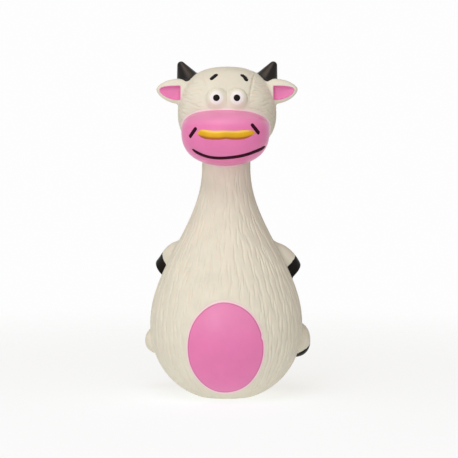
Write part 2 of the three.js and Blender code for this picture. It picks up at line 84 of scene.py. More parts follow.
# The squeaker: a cup with a flange and a barb that hold it in the base, and a cap below it.
UNDERSIDE = 0.5
CUP_RADIUS = 8.5
CUP_BORE = 6.2
CUP_TOP = 16
CUP_ROOF = 1.2
INLET_RADIUS = 1.2
FLANGE_RADIUS = 11
FLANGE_TOP = 1.7
BARB_RADIUS = 10
BARB_BOTTOM = 4
BARB_EDGE_TOP = 5
BARB_TOP = 6.6
CAP_SEAT_RADIUS = 7
CAP_RADIUS = 6.7
CAP_TOP = 2
VENT_RADIUS = 1.5
SOCKET_RADIUS = 5.5
SOCKET_BORE = 4.3
SOCKET_TOP = 6.2
PLASTIC_ROUND = 0.18
PLASTIC_ROUND_SHARE = 1 / 3  # of the shorter side at a corner, at most
PLASTIC_SIDES = 96

# The hole in the base that the squeaker sits in, and the flat ring that the toy stands on.
SQUEAKER_GAP = 0.3
HOLE_RADIUS = CUP_RADIUS + SQUEAKER_GAP
HEADROOM = 1
HOLE_EDGE = 0.4
HOLE_TOP = CUP_TOP + HEADROOM
RECESS_RADIUS = FLANGE_RADIUS + SQUEAKER_GAP
LIP_ROUND = 0.25
STAND_RADII = (11.5, 12.6, 14.2)
STAND_EDGE = (14.8, 0.06)  # the radius and height at which the belly starts

HEAD_RISE = 25
HEAD_SHIFT = 0.5
HEAD = form((HEAD_SHIFT, 0, NECK_TOP + HEAD_RISE), side=26.4, front=24.5, back=24.5, up=25.1, down=22,
            upper_power=2.4, lower_power=2.25, depth_power=2.2)
HEAD_SIDES = 310
HEAD_ROWS = 310
HEAD_ANGLES = (0.006, math.pi - 0.3)
RAY_REACH = 40

MUZZLE_FORWARD = 16
MUZZLE_DROP = 9
MUZZLE = form((0, -MUZZLE_FORWARD, HEAD.centre[2] - MUZZLE_DROP), side=23.3, front=20, back=20, up=11.3,
              down=18.4, upper_power=2.35, lower_power=2.4, depth_power=2.3)
MUZZLE_FILLET = 1.6
MUZZLE_SUNK = 0.05
MUZZLE_RIM = (0.15, 0.55)  # the pale paint ends this far off the head
# A painted highlight: the upper part of the muzzle is paler.
MUZZLE_PAINTED_HIGHLIGHT = 0.13  # how pale the upper part is
MUZZLE_HIGHLIGHT_RISE = (1, 8)
MUZZLE_SIDES = 380
MUZZLE_ROWS = [(0.008, 1.5, 140), (1.508, 2.35, 106), (2.4, 3.1, 8)]  # angles and how many

PATCH_HEIGHT = 29.7
PATCH_SHIFT = 0.5
PATCH_HALF_HEIGHT = 25.5
PATCH_HALF_WIDTH = 20.6
PATCH_PROUD = 0.25
PATCH_DEPTH = 0.8
PATCH_GAP = 0.1  # under the patch
PATCH_SIDES = 360
PATCH_TOP_SHARES = [(1 / 50, 0.9, 45), (0.905, 1, 30)]  # from, to and how many rings
PATCH_EDGE_SHARES = (1.004, 1.006)
PATCH_EDGE_DROP = 0.2
PATCH_UNDER_SHARES = (0.98, 0.1, 12)
PATCH_ROUND_SHARE = 0.035
PATCH_DIP_SHARES = (0.97, 0.99)  # where the body's skin drops under the patch
MOAT_SHARE = 0.945  # a fine groove inside the rim
MOAT_WIDTH_SHARE = 0.012
MOAT_DEPTH = 0.2
# Painted shade: the fine groove inside the rim is darkened towards a deeper pink by this share.
MOAT_PAINTED_SHADE = 0.7
PATCH_RIM_SHARES = (MOAT_SHARE + 0.005, MOAT_SHARE + 0.02)
# A painted highlight: the upper part of the patch is paler towards its top.
PATCH_PAINTED_HIGHLIGHT = 0.08  # how pale the upper part is
PATCH_HIGHLIGHT_SHARE = 0.8
PATCH_WOBBLE_SHARES = [(0.004, 3, 1), (0.003, 7, 2.2)]  # size, waves and where they start
NOTCH_SHARE = 0.022  # a small nick in the patch's edge
NOTCH_TURN = 0.235
NOTCH_WIDTH = 0.05

EYE_SPACING = 10.7
EYE_SHIFT = 0.4
EYE_RISE = 8.2
EYE_RADIUS = 5.1
EYE_BULGE = 2.4
EYE_FILLET = 2.4
EYE_SUNK = 0.04
EYE_PITCH = 0.22
EYE_MARGIN = 2.2
EYE_WHITE_RADII = (3.15, 3.9)  # the white paint fades out between them
PUPIL_RADIUS = 2.05
PUPIL_PROUD = 0.3
PUPIL_DEPTH = 0.9
PUPIL_SIDES = 48
PUPIL_ROWS = 24
PUPIL_POLE = 0.05
PUPIL_REACH = 6

# Each end of a horn: how far inside the head's side, how far below its top, and the radius there.
HORN_ROOT = (6, 8.4, 6.6)
HORN_TIP = (1.7, -0.8, 2.1)
HORN_SET_BACK = 0.8
HORN_FILLET = 0.9
HORN_SUNK = 0.02
HORN_PITCH = 0.3
HORN_MARGIN = 9
HORN_RIDGE_FACING = (-0.5, -1, 0)  # a painted highlight along the side of a horn that faces this way
HORN_RIDGE_EDGE = (0.90, 0.99)
HORN_RIDGE_RISE = (1, 4)
HORN_HIGHLIGHT_TINT = 0.8

EAR_ROOT = 26.2  # from the middle of the head
EAR_RISE = 12.9
EAR_FORWARD = 4
EAR = form((0, 0, 0), side=11.5, front=3.8, back=3.8, up=5.7, down=7.6,
           upper_power=1.7, lower_power=1.7, depth_power=2.4)
SCOOP = form((0.2, -3.5, -0.6), side=9.6, front=1.9, back=1.9, up=2.3, down=4.9,
             upper_power=2.6, lower_power=1.6, depth_power=4)
SCOOP_ROOT = 1.3  # from the ear's middle to a wall across the scoop, towards the head
SCOOP_LIP = 0.8
SCOOP_LEAST_SLOPE = 0.05
EAR_FILLET = 2.2
EAR_PITCH = 0.3
EAR_BOX = ((-13.5, -7, -10), (13.5, 7, 8))
EAR_BLUSH = 0.6
EAR_BLUSH_EDGE = (-0.4, 0.3)  # how far inside the scoop the pink starts and is full
LINING_PITCH = 0.22
LINING_PROUD = 0.15
LINING_SPREAD = 0.3
LINING_DEPTH = 0.5

# Each place on a limb: degrees back from the toy's side, height, and how far off the body's skin.
ARMS = {
    "left": [(8, 78.5, -6.5), (14, 75.7, 0), (17, 70.9, 2.9), (20, 61.1, 3.9)],
    "right": [(10, 79, -6.5), (18, 76.3, 0), (23, 70.4, 2.8), (27, 62.5, 7.2)],
}
WRIST_INDEX = 2  # its place in ARMS
ARM_RADIUS = 5.6
ARM_POINTS = 13
ARM_MARGIN = 11
WRIST_TILTS = {"left": 43, "right": 24}
SOLE_TILTS = {"left": 41, "right": 35}
WRIST_BACKS = {"left": 0.7, "right": 1.8}  # the hoof's edge behind the wrist
HOOF_LENGTHS = {"left": 6.2, "right": 5.5}
HOOF_ROUND = 1.4
LEGS = {"left": (29, 28, 1.5), "right": (33, 27.4, 2.3)}
LEG_SIZES = dict(side=8, front=12.5, back=12.5, upper_power=2.2, lower_power=2.2, depth_power=2.2)
LEG_FORMS = {
    "left": form((0, 0, 0), up=10.6, down=9.6, **LEG_SIZES),
    "right": form((0, 0, 0), up=8.6, down=8, **LEG_SIZES),
}
LEG_MARGIN = 17
LEG_PITCH = 0.4
LEG_HOOF_FACING = {"left": (0.5, 0.2, -0.85), "right": (0.5, 1, -0.85)}  # out of the hoof
LEG_HOOF_DROPS = {"left": 4.9, "right": 5.6}  # from the leg's middle to its paint
TAIL = [(90, 15.5, -1.2), (92, 22, -0.6), (87, 29, -0.6), (81, 34, -0.8), (76, 38, -1.4), (70, 43, -1.8)]
TUFT_INDEX = 3  # the place in TAIL at which the tuft starts
TAIL_RADIUS = 2.3
TUFT_RADIUS = 4.1
TUFT_TIP_RADIUS = 2.4
TAIL_POINTS = 41
TAIL_MARGIN = 9
LIMB_PITCH = 0.35
LIMB_FILLET = 2.2
SUNK = 0.06  # how far a form's fillet runs out under the skin that carries it
PAINT_OVERLAP = 0.6  # how far a limb's skin runs on under the paint of its hoof
PAINT_LAYER = 0.03

# The ring in relief across the muzzle, from the animal's right to its left.
RING_RISE = -0.9
RING_SHIFT = 0.9
RING_SINK = 0.9
RING_HALF_WIDTH = 14.1
RING_SAG = 1.3
RING_SAG_SHARES = np.array([0, 0.8, 1, 0.8, 1, 0.7, -0.2])
RING_POINTS = 25
RING_RADIUS = 1.85
RING_TAPER_SHARES = (0.1, 0.2)
RING_END_SHARE = 0.02
RING_WAIST_SHARE = 0.1
RING_WAIST_WIDTH_SHARE = 0.05
RING_FILLET = 0.9
RING_SUNK = 0.03
RING_PITCH = 0.24
RING_MARGIN = 4
RING_SHADE_RISE = (-1.7, -0.7)
RING_LIGHT_RISE = (0.7, 1.6)

# The stuffing, inside the skin and round the squeaker.
FILLING_INSET = 2.6
FILLING_GAP = 0.4
FILLING_BOTTOM = 4.2
MUZZLE_STUFFING_FILLET = 3
NECK_STUFFING_FILLET = 4
POCKET_GAP = 0.6  # between the stuffing and the squeaker
POCKET_RADIUS = BARB_RADIUS + POCKET_GAP
POCKET_TOP = CUP_TOP + POCKET_GAP
LUMP_HEIGHT = 0.35
LUMP_SIZES = (2.1, 2.4, 2.7)
FILLING_BOX = ((-42, -42, 2), (42, 42, 178))
FILLING_PITCH = 1.2

# Hair strokes are moulded grooves. HAIR_PITCH is the gap between neighbours.
HAIR_PITCH = 2.3
HAIR_LENGTH = 11
HAIR_HALF_WIDTH = 0.8
HAIR_DEPTH = 0.5
HAIR_POINTS = 8
HAIR_LENGTH_SHARES = (0.7, 1.1)
HAIR_WAVE = 0.3
HAIR_WAVE_TURNS = (0.8, 1.4)
HAIR_OVERLAPS = 3  # how many rows of the body's strokes share one height
HAIR_START = 2.0  # the height of the lowest row
HAIR_LOWEST = 0.2
HAIR_PAST_NECK = 2
HAIR_RISE_SHARE = 0.5
HAIR_TURN_SHARE = 0.22
HAIR_DRIFT = 0.9
# Painted shade: the hair grooves are darkened towards the hair shadow colour by this share of their
# depth.
HAIR_PAINTED_SHADE = 0.02
HAIR_SEED = 7
HAIR_BASE_FADE = (0.5, 5)
HAIR_THIN_SHARE = 0.3
HAIR_THIN_HEIGHTS = (60, 100)
HAIR_LIMB_FADE = (LIMB_FILLET - 0.5, LIMB_FILLET + 2.5)
PATCH_CLEARANCE = LIMB_FILLET - 0.6
HEAD_CLEARANCE = LIMB_FILLET - 1
MUZZLE_CLEARANCE = LIMB_FILLET - 1.5

HEAD_HAIR_DEPTH = 0.3
HEAD_HAIR_STEP_SHARE = 0.9
HEAD_HAIR_TURN_SHARE = 0.2
HEAD_HAIR_WAVE_SHARE = 1.8
HEAD_HAIR_LEAN = 0.8
HEAD_HAIR_MARGINS = (3, 1.5)  # bare, at the bottom and the top
HEAD_HAIR_POWER = 2.2
HEAD_HAIR_LEAST = 0.02
HEAD_HAIR_LEAST_COUNT = 3
# Painted shade in the head's hair grooves, as a share of their depth.
HEAD_HAIR_PAINTED_SHADE = 0.05
HEAD_HAIR_SEED = 11
FOREHEAD_SHIFT = 0.3
FOREHEAD_EDGE = (10.5, 14)  # hair starts this far to each side of the forehead
FOREHEAD_BACK = 6  # or this far behind the middle of the head
EAR_HAIR_FADE = (1, 3.5)
HORN_HAIR_FADE = (0.5, 2)
MUZZLE_HAIR_FADE = (0.3, 1.5)
NECK_HAIR_FADE = (2.5, 5)
NECK_HAIR_TOP = NECK_TOP + 6  # above it the neck doesn't count
FAR_OFF = 20  # added to a distance that mustn't count

# Lines on the face, as pixels of the photograph that they run through.
MOUTH_PIXELS = [
    (192, 149), (198, 153), (207.8, 156.7), (215, 157.8), (223.2, 158.1),
    (231, 157.6), (238.5, 156.5), (249, 153.8), (257, 150.6), (265.3, 146.2),
]
NOSTRIL_PIXELS = {
    "right": [(189.8, 137.4), (193.2, 132.4), (196.8, 127.6)],
    "left": [(251, 123.8), (255, 128.8), (259.1, 134)],
}
BROW_PIXELS = {
    "right": [(210.4, 80.2), (214, 76.8), (217.4, 74)],
    "left": [(240.6, 74.4), (244.4, 77), (247, 81.5)],
}
CREASE_PIXELS = [
    [(255, 73), (253.3, 78), (251.5, 87), (249.3, 97), (247.8, 107)],
    [(202.5, 73), (204.5, 82), (206.7, 90)],
]
CREASE_WEIGHTS = (1, 0.45)
CREASE_HALF_WIDTH = 0.9
CREASE_DEPTH = 0.55
# Painted shade in the face's creases, as a share of their depth.
CREASE_PAINTED_SHADE = 0.25
STROKE_POINTS = 24
STROKE_SIDES = 12
STROKE_PROUD = 0.12
STROKE_TAPER_SHARE = 0.07
STROKE_LEAST = 0.05
NOSTRIL_HALF_WIDTH = 1.05
BROW_HALF_WIDTH = 1.2
BROW_TAPER_SHARE = 0.16
MOUTH_POINTS = 60
MOUTH_HALF_WIDTH = 1.15
MOUTH_PROUD = 0.14
MOUTH_SINK = 0.04
MOUTH_GROOVE_HALF_WIDTH = 1.9
MOUTH_GROOVE_DEPTH = 0.3

# The camera, and how a pixel of the photograph maps to the toy's middle plane.
PIXEL = 0.5385
FRAME_PIXELS = 458
CAMERA_DISTANCE = 1000
CAMERA_HEIGHT = 150
CAMERA_YAW = math.radians(1.5)
CAMERA_PLACE = np.array([
    CAMERA_DISTANCE * math.sin(CAMERA_YAW), -CAMERA_DISTANCE * math.cos(CAMERA_YAW), CAMERA_HEIGHT,
])
AIM_PLACE = np.array([1.5, 0, 90.0])
SENSOR_WIDTH = 36
SIGHT_SHARES = (0.92, 1)  # of the camera's distance, where a line of sight can meet the toy
SIGHT_STEPS = 200

# The floor, the soft light all round, and the lamps: place and size in metres, and power in watts.
FLOOR_SIZE = 20
FLOOR_SHADE = (0.30, 0.335, 0.40)
FLOOR_WARMTH = (1, 0.985, 0.93)
FLOOR_BOUNCE = 0.62
FLOOR_GLOW = 0.75
FLOOR_REACH = (0.14, 0.5)
BACKDROP = (0.985, 0.985, 0.985)
FILL_EDGE = -0.5
FILL_FROM = (-0.3, -0.95, 0.08)
FILL_BEFORE = (0.96, 0.935, 0.95)
FILL_BEHIND = (0.1, 0.05, 0.03)
LAMPS = {
    "key": dict(place=(-0.33, -1.15, 0.2), size=0.35, power=1.6),
    "top": dict(place=(-0.1, -0.45, 0.88), size=0.6, power=2.2),
}
LAMP_AIM = (0, 0, 0.09)

CREAM = (0.78, 0.735, 0.60)
HAIR_SHADOW = (0.62, 0.53, 0.40)
PINK = (0.80, 0.19, 0.43)
PALE_PINK = (0.94, 0.68, 0.70)
# The deeper pink of the painted shade in the belly patch's fine groove.
PINK_SHADE = (0.55, 0.13, 0.27)
BLACK = (0.012, 0.0095, 0.008)
# The paler black of the painted highlight along the horns.
BLACK_HIGHLIGHT = (0.06, 0.042, 0.028)
MAROON = (0.035, 0.004, 0.012)
YELLOW = (0.78, 0.43, 0.008)
# Painted shade along the nose ring's lower side, and after it a painted highlight along its top.
ORANGE_SHADE = (0.5, 0.13, 0.03)
YELLOW_HIGHLIGHT = (0.95, 0.62, 0.08)
WHITE = (0.87, 0.825, 0.79)
PLASTIC_WHITE = (0.82, 0.82, 0.80)
FILM_BLUE = (0.70, 0.74, 0.78)
FIBRE_WHITE = (0.9, 0.9, 0.88)

MOTTLE_DETAIL = 4
MOTTLE_SPAN = (0.3, 0.7)
MOTTLE_LIFT_SHARE = 0.4
GRAIN_DETAIL = 3
GRAIN_HEIGHT = 0.1
GLOSS_SPREAD = 0.06
COAT_ROUGHNESS = 0.34
SOFT_DEPTH = 2.2
SOFT_REACH = (1.0, 0.45, 0.3)

# How finely surfaces are looked for
STEP = 0.02  # for slopes that are measured rather than worked out
LEAST_STEEPNESS = 0.1
SETTLING_ROUNDS = 3
HALVINGS = 24
CURVE_STEPS = 40  # fine points to each given point of a curve
TINY = 1e-6
BLOCK = 8  # samples along each side of a block
BLOCK_REACH_SHARE = 1.2
BLOCKS_AT_ONCE = 400


# Vectors and shares

def smooth(low, high, value):
    """0 below low, 1 above high, and a soft step between them."""
    share = np.clip((value - low) / (high - low), 0, 1)
    return share * share * (3 - 2 * share)


def unit(vectors):
    return vectors / np.linalg.norm(vectors, axis=-1, keepdims=True)


def curve_through(points, count):
    """Evenly spaced points on a smooth curve through the given ones."""
    knots = np.array(points, float)
    chord = np.linalg.norm(np.diff(knots, axis=0), axis=1) ** 0.5
    at = np.concatenate([[0], np.cumsum(chord)])
    tangents = np.gradient(knots, at, axis=0)
    fine = np.linspace(0, at[-1], CURVE_STEPS * len(knots))
    piece = np.clip(np.searchsorted(at, fine, side="right") - 1, 0, len(chord) - 1)
    width = chord[piece][:, None]
    share = ((fine - at[piece]) / chord[piece])[:, None]
    line = (
        (1 + 2 * share) * (1 - share) ** 2 * knots[piece]
        + share * (1 - share) ** 2 * width * tangents[piece]
        + share**2 * (3 - 2 * share) * knots[piece + 1]
        + share**2 * (share - 1) * width * tangents[piece + 1]
    )
    length = np.concatenate([[0], np.cumsum(np.linalg.norm(np.diff(line, axis=0), axis=1))])
    even = np.linspace(0, length[-1], count)
    return np.stack([np.interp(even, length, line[:, i]) for i in range(3)], axis=1)


def nearest_on(path, points):
    """For each stretch of a path, how far the points are from it, and at what share along it."""
    for start, end in zip(path[:-1], path[1:]):
        along = end - start
        share = np.clip((points - start) @ along / (along @ along), 0, 1)
        yield np.linalg.norm(points - start - share[:, None] * along, axis=1), share


# Fields: functions of points that are below zero inside a form and close to the distance outside

def body_radius(z):
    base_share = (1 - (BASE_RADIUS / BELLY_RADIUS) ** BASE_POWER) ** (1 / BASE_POWER)
    share = base_share * np.clip(1 - z / BELLY_HEIGHT, 0, 1 / base_share)
    below = BELLY_RADIUS * (1 - share**BASE_POWER) ** (1 / BASE_POWER)
    risen = np.clip((z - BELLY_HEIGHT) / FLARE_HEIGHT, 0, 1)
    above = NECK_RADIUS + (BELLY_RADIUS - NECK_RADIUS) * (1 + np.cos(np.pi * risen)) / 2
    return np.where(z < BELLY_HEIGHT, below, above)


def body_field(points):
    z = np.maximum(points[:, 2], 0)
    slope = (body_radius(z + STEP) - body_radius(z - STEP)) / (2 * STEP)
    side = (np.hypot(points[:, 0], points[:, 1]) - body_radius(z)) / np.hypot(1, slope)
    return np.maximum(side, points[:, 2] - NECK_TOP - NECK_OVERLAP)


def form_level(shape, local):
    """1 on a form's surface, less inside it and more outside."""
    x, y, z = np.moveaxis(local, -1, 0)
    power = np.where(z > 0, shape.upper_power, shape.lower_power)
    across = np.abs(x) / shape.side
    along = np.abs(z) / np.where(z > 0, shape.up, shape.down)
    outline = (across**power + along**power) ** (1 / power)
    depth = np.abs(y) / np.where(y < 0, shape.front, shape.back)
    return (outline**shape.depth_power + depth**shape.depth_power) ** (1 / shape.depth_power)


def form_field(shape, points):
    local = points - shape.centre
    level = np.maximum(form_level(shape, local), TINY)
    return np.linalg.norm(local, axis=-1) * (1 - 1 / level)


def front_of(shape, x, z):
    """The point on a form's front, at x and z measured from its centre."""
    outline = np.minimum(1, form_level(shape, np.stack([x, 0 * x, z], axis=-1)))
    depth = shape.front * (1 - outline**shape.depth_power) ** (1 / shape.depth_power)
    return np.stack([x, -depth, z], axis=-1) + shape.centre


def path_field(path, radii, points):
    """A round limb along a path, with a radius at each of its points."""
    nearest = np.full(len(points), np.inf)
    for (gap, share), first, last in zip(nearest_on(path, points), radii[:-1], radii[1:]):
        nearest = np.minimum(nearest, gap - first - share * (last - first))
    return nearest


def joined(first, second, fillet):
    """Two fields as one, with a fillet between them."""
    overlap = np.clip(1 - np.abs(first - second) / fillet, 0, 1)
    return np.minimum(first, second) - fillet * overlap**2 / 4


def rooted(own, carrier, fillet, sunk):
    """A form's field with a fillet that runs out just under the skin of what carries it."""
    def field(points):
        mine = own(points)
        return np.maximum(joined(mine, carrier(points) + sunk, fillet), mine - fillet)
    return field


def slope_of(field, points):
    """The direction in which a field grows fastest."""
    parts = []
    for axis in range(3):
        step = np.zeros(3)
        step[axis] = STEP
        parts.append(field(points + step) - field(points - step))
    return np.stack(parts, axis=1) / (2 * STEP)


def settled(points, field):
    """The points moved onto the surface where the field is zero."""
    for _ in range(SETTLING_ROUNDS):
        slope = slope_of(field, points)
        steepness = np.maximum(np.sum(slope**2, axis=1), LEAST_STEEPNESS)
        points = points - slope * (field(points) / steepness)[:, None]
    return points


# Meshes

def band_faces(first, second, sides):
    """Quads between two rings of points, given by where each ring starts."""
    side = np.arange(sides)
    after = (side + 1) % sides
    return np.stack([first + side, first + after, second + after, second + side], 1)


def ring_faces(rings, sides):
    """Quads between rings of points, and a fan at each end to one of two points after the rings."""
    quads = [band_faces(i * sides, (i + 1) * sides, sides) for i in range(rings - 1)]
    side = np.arange(sides)
    after = (side + 1) % sides
    count = rings * sides
    last = count - sides
    fans = [
        np.stack([np.full(sides, count), after, side], 1),
        np.stack([np.full(sides, count + 1), last + side, last + after], 1),
    ]
    return np.concatenate(quads), np.concatenate(fans)


def turned(profile, sides):
    """Points of a profile of radii and heights, turned about the Z axis."""
    turn = 2 * np.pi * np.arange(sides) / sides
    return np.stack([
        profile[:, 0][:, None] * np.cos(turn),
        profile[:, 0][:, None] * np.sin(turn),
        np.repeat(profile[:, 1][:, None], sides, axis=1),
    ], axis=-1).reshape(-1, 3)


def star_mesh(field, centre, axis, rows, sides, reach):
    """The surface met by rays from a centre. rows holds the angles from the axis."""
    pole = np.array(axis, float)
    beside = np.array((1, 0, 0), float)
    third = np.cross(pole, beside)
    turn = 2 * np.pi * np.arange(sides) / sides
    around = np.cos(turn)[:, None] * beside + np.sin(turn)[:, None] * third
    rays = np.cos(rows)[:, None, None] * pole + np.sin(rows)[:, None, None] * around
    rays = np.concatenate([rays.reshape(-1, 3), [pole], [-pole]])
    near = np.zeros(len(rays))
    far = np.full(len(rays), float(reach))
    for _ in range(HALVINGS):
        middle = (near + far) / 2
        inside = field(centre + rays * middle[:, None]) < 0
        near = np.where(inside, middle, near)
        far = np.where(inside, far, middle)
    return centre + rays * near[:, None], *ring_faces(len(rows), sides)


def field_mesh(field, low, high, pitch):
    """The surface inside a box where the field is zero, as even quads.
    Blocks of samples whose middle is far from the surface are left at that middle's value."""
    low = np.array(low, float)
    block = BLOCK * pitch
    counts = np.ceil((np.array(high) - low) / block).astype(int)
    blocks = np.indices(counts).reshape(3, -1).T
    inner = np.indices((BLOCK,) * 3).reshape(3, -1).T
    middle = field(low + (blocks + 0.5) * block)
    values = np.repeat(middle[:, None], BLOCK**3, axis=1)
    close = np.flatnonzero(np.abs(middle) < BLOCK_REACH_SHARE * block)
    for part in np.array_split(close, 1 + len(close) // BLOCKS_AT_ONCE):
        points = low + pitch * (BLOCK * blocks[part][:, None] + inner)
        values[part] = field(points.reshape(-1, 3)).reshape(len(part), -1)
    values = values.reshape(*counts, BLOCK, BLOCK, BLOCK).transpose(0, 3, 1, 4, 2, 5)
    grid = openvdb.FloatGrid(float(pitch))
    grid.copyFromArray(values.reshape(counts * BLOCK).astype(np.float32))
    found, quads = grid.convertToQuads(0.0)
    return settled(low + pitch * found.astype(float), field), quads.astype(int)


def make_mesh(name, points, faces, material, marks):
    """A smooth mesh object from points in millimetres. faces is a list of arrays of faces,
    and marks holds named values of every point, which its material reads."""
    corners = np.concatenate([part.ravel() for part in faces])
    sizes = np.concatenate([np.full(len(part), part.shape[1]) for part in faces])
    mesh = bpy.data.meshes.new(name)
    mesh.vertices.add(len(points))
    mesh.vertices.foreach_set("co", (points * MM).astype(np.float32).ravel())
    mesh.loops.add(len(corners))
    mesh.loops.foreach_set("vertex_index", corners.astype(np.int32))
    mesh.polygons.add(len(sizes))
    starts = np.concatenate([[0], np.cumsum(sizes)[:-1]])
    mesh.polygons.foreach_set("loop_start", starts.astype(np.int32))
    mesh.polygons.foreach_set("use_smooth", np.ones(len(sizes), bool))
    mesh.update(calc_edges=True)
    mesh.validate()
    for label, values in marks.items():
        attribute = mesh.attributes.new(label, "FLOAT", "POINT")
        attribute.data.foreach_set("value", values.astype(np.float32))
    mesh.materials.append(material)
    made = bpy.data.objects.new(name, mesh)
    bpy.context.scene.collection.objects.link(made)
    return made


def make_piece(name, points, faces, look, *nodes, **marks):
    """A piece that moves with the toy, has a look, and hides the CAD nodes that are named, to show in
    their place.
    """
    piece = make_mesh(name, points, faces, look.material, marks)
    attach(piece, "toy")
    if nodes:
        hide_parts(*nodes)


# Moulded hair and engraved lines

def line_cut(points, path, half_width, taper=True):
    """How deep points lie under one line, from 0 beside it to 1 on its middle."""
    near = np.flatnonzero(
        np.all((points > path.min(0) - half_width) & (points < path.max(0) + half_width), axis=1)
    )
    gap = np.full(len(near), np.inf)
    place = np.zeros(len(near))
    for i, (distance, share) in enumerate(nearest_on(path, points[near])):
        closer = distance < gap
        gap = np.where(closer, distance, gap)
        place = np.where(closer, (i + share) / (len(path) - 1), place)
    swell = np.sqrt(np.maximum(0, np.sin(np.pi * place))) if taper else 1
    across = np.clip(gap / np.maximum(half_width * swell, TINY), 0, 1)
    return near, (1 - across**2) ** 2 * swell


def hair_cut(points, strokes):
    """How deep points lie in moulded hair, from 0 to 1. strokes is a list of paths."""
    cut = np.zeros(len(points))
    order = np.argsort(points[:, 2], kind="stable")
    heights = points[order, 2]
    for path in strokes:
        first = np.searchsorted(heights, path[:, 2].min() - HAIR_HALF_WIDTH)
        last = np.searchsorted(heights, path[:, 2].max() + HAIR_HALF_WIDTH)
        some = order[first:last]
        near, depth = line_cut(points[some], path, HAIR_HALF_WIDTH)
        chosen = some[near]
        cut[chosen] = np.maximum(cut[chosen], depth)
    return cut


def hair_wave(random, share):
    turns = share * random.uniform(*HAIR_WAVE_TURNS) + random.random()
    return HAIR_WAVE * np.sin(2 * np.pi * turns)


def body_hair(random):
    """Hair strokes that run down the body, in rows that overlap by two thirds."""
    strokes = []
    share = np.linspace(-0.5, 0.5, HAIR_POINTS)
    row_step = HAIR_LENGTH / HAIR_OVERLAPS
    height = HAIR_START
    while height < NECK_TOP + row_step:
        girth = 2 * np.pi * float(body_radius(np.array(height)))
        count = int(round(girth / (HAIR_OVERLAPS * HAIR_PITCH)))
        first = random.random()
        for k in range(count):
            middle = height + random.uniform(-HAIR_RISE_SHARE, HAIR_RISE_SHARE) * row_step
            length = HAIR_LENGTH * random.uniform(*HAIR_LENGTH_SHARES)
            z = np.clip(middle + share * length, HAIR_LOWEST, NECK_TOP + HAIR_PAST_NECK)
            radius = body_radius(z)
            turn = 2 * np.pi * (k + first + random.uniform(-HAIR_TURN_SHARE, HAIR_TURN_SHARE)) / count
            wave = hair_wave(random, share)
            drift = random.uniform(-HAIR_DRIFT, HAIR_DRIFT) * share
            angle = turn + (wave + drift) / radius
            strokes.append(np.stack([radius * np.cos(angle), radius * np.sin(angle), z], axis=1))
        height += row_step
    return strokes


def head_hair(random):
    """Hair strokes that run level round the head."""
    strokes = []
    share = np.linspace(-0.5, 0.5, HAIR_POINTS)
    bare_below, bare_above = HEAD_HAIR_MARGINS
    rise = bare_below - HEAD.down
    while rise < HEAD.up - bare_above:
        outline = abs(rise) / (HEAD.up if rise > 0 else HEAD.down)
        radius = HEAD.side * math.sqrt(max(HEAD_HAIR_LEAST, 1 - outline**HEAD_HAIR_POWER))
        count = max(HEAD_HAIR_LEAST_COUNT, int(round(2 * np.pi * radius / HAIR_LENGTH)))
        first = random.random()
        for k in range(count):
            turn = k + first + random.uniform(-HEAD_HAIR_TURN_SHARE, HEAD_HAIR_TURN_SHARE)
            length = HAIR_LENGTH * random.uniform(*HAIR_LENGTH_SHARES)
            angle = 2 * np.pi * turn / count + share * length / radius
            wave = HEAD_HAIR_WAVE_SHARE * hair_wave(random, share)
            z = rise + wave + random.uniform(-1, 1) * (HEAD_HAIR_LEAN + share)
            ring = np.stack([radius * np.cos(angle), radius * np.sin(angle), z], axis=1)
            strokes.append(settled(HEAD.centre + ring, head_field))
        rise += HAIR_PITCH * HEAD_HAIR_STEP_SHARE
    return strokes


# Materials

def node_of(tree, kind, inputs=None, **settings):
    """A shader node. Each input is a value, or the output of another node."""
    made = tree.nodes.new(kind)
    for name, value in settings.items():
        setattr(made, name, value)
    for name, value in (inputs or {}).items():
        if isinstance(value, bpy.types.NodeSocket):
            tree.links.new(value, made.inputs[name])
        else:
            made.inputs[name].default_value = value
    return made


def noise_of(tree, size, detail):
    """Noise on an object, with patches of about a size in millimetres."""
    place = node_of(tree, "ShaderNodeTexCoord").outputs["Object"]
    inputs = {"Vector": place, "Scale": 1 / (size * MM), "Detail": detail}
    return node_of(tree, "ShaderNodeTexNoise", inputs).outputs["Fac"]


def spread_of(tree, value, low, high, start=0, end=1):
    """low where a value is at its start, high at its end, and evenly between them."""
    inputs = {"Value": value, "From Min": start, "From Max": end, "To Min": low, "To Max": high}
    return node_of(tree, "ShaderNodeMapRange", inputs).outputs["Result"]


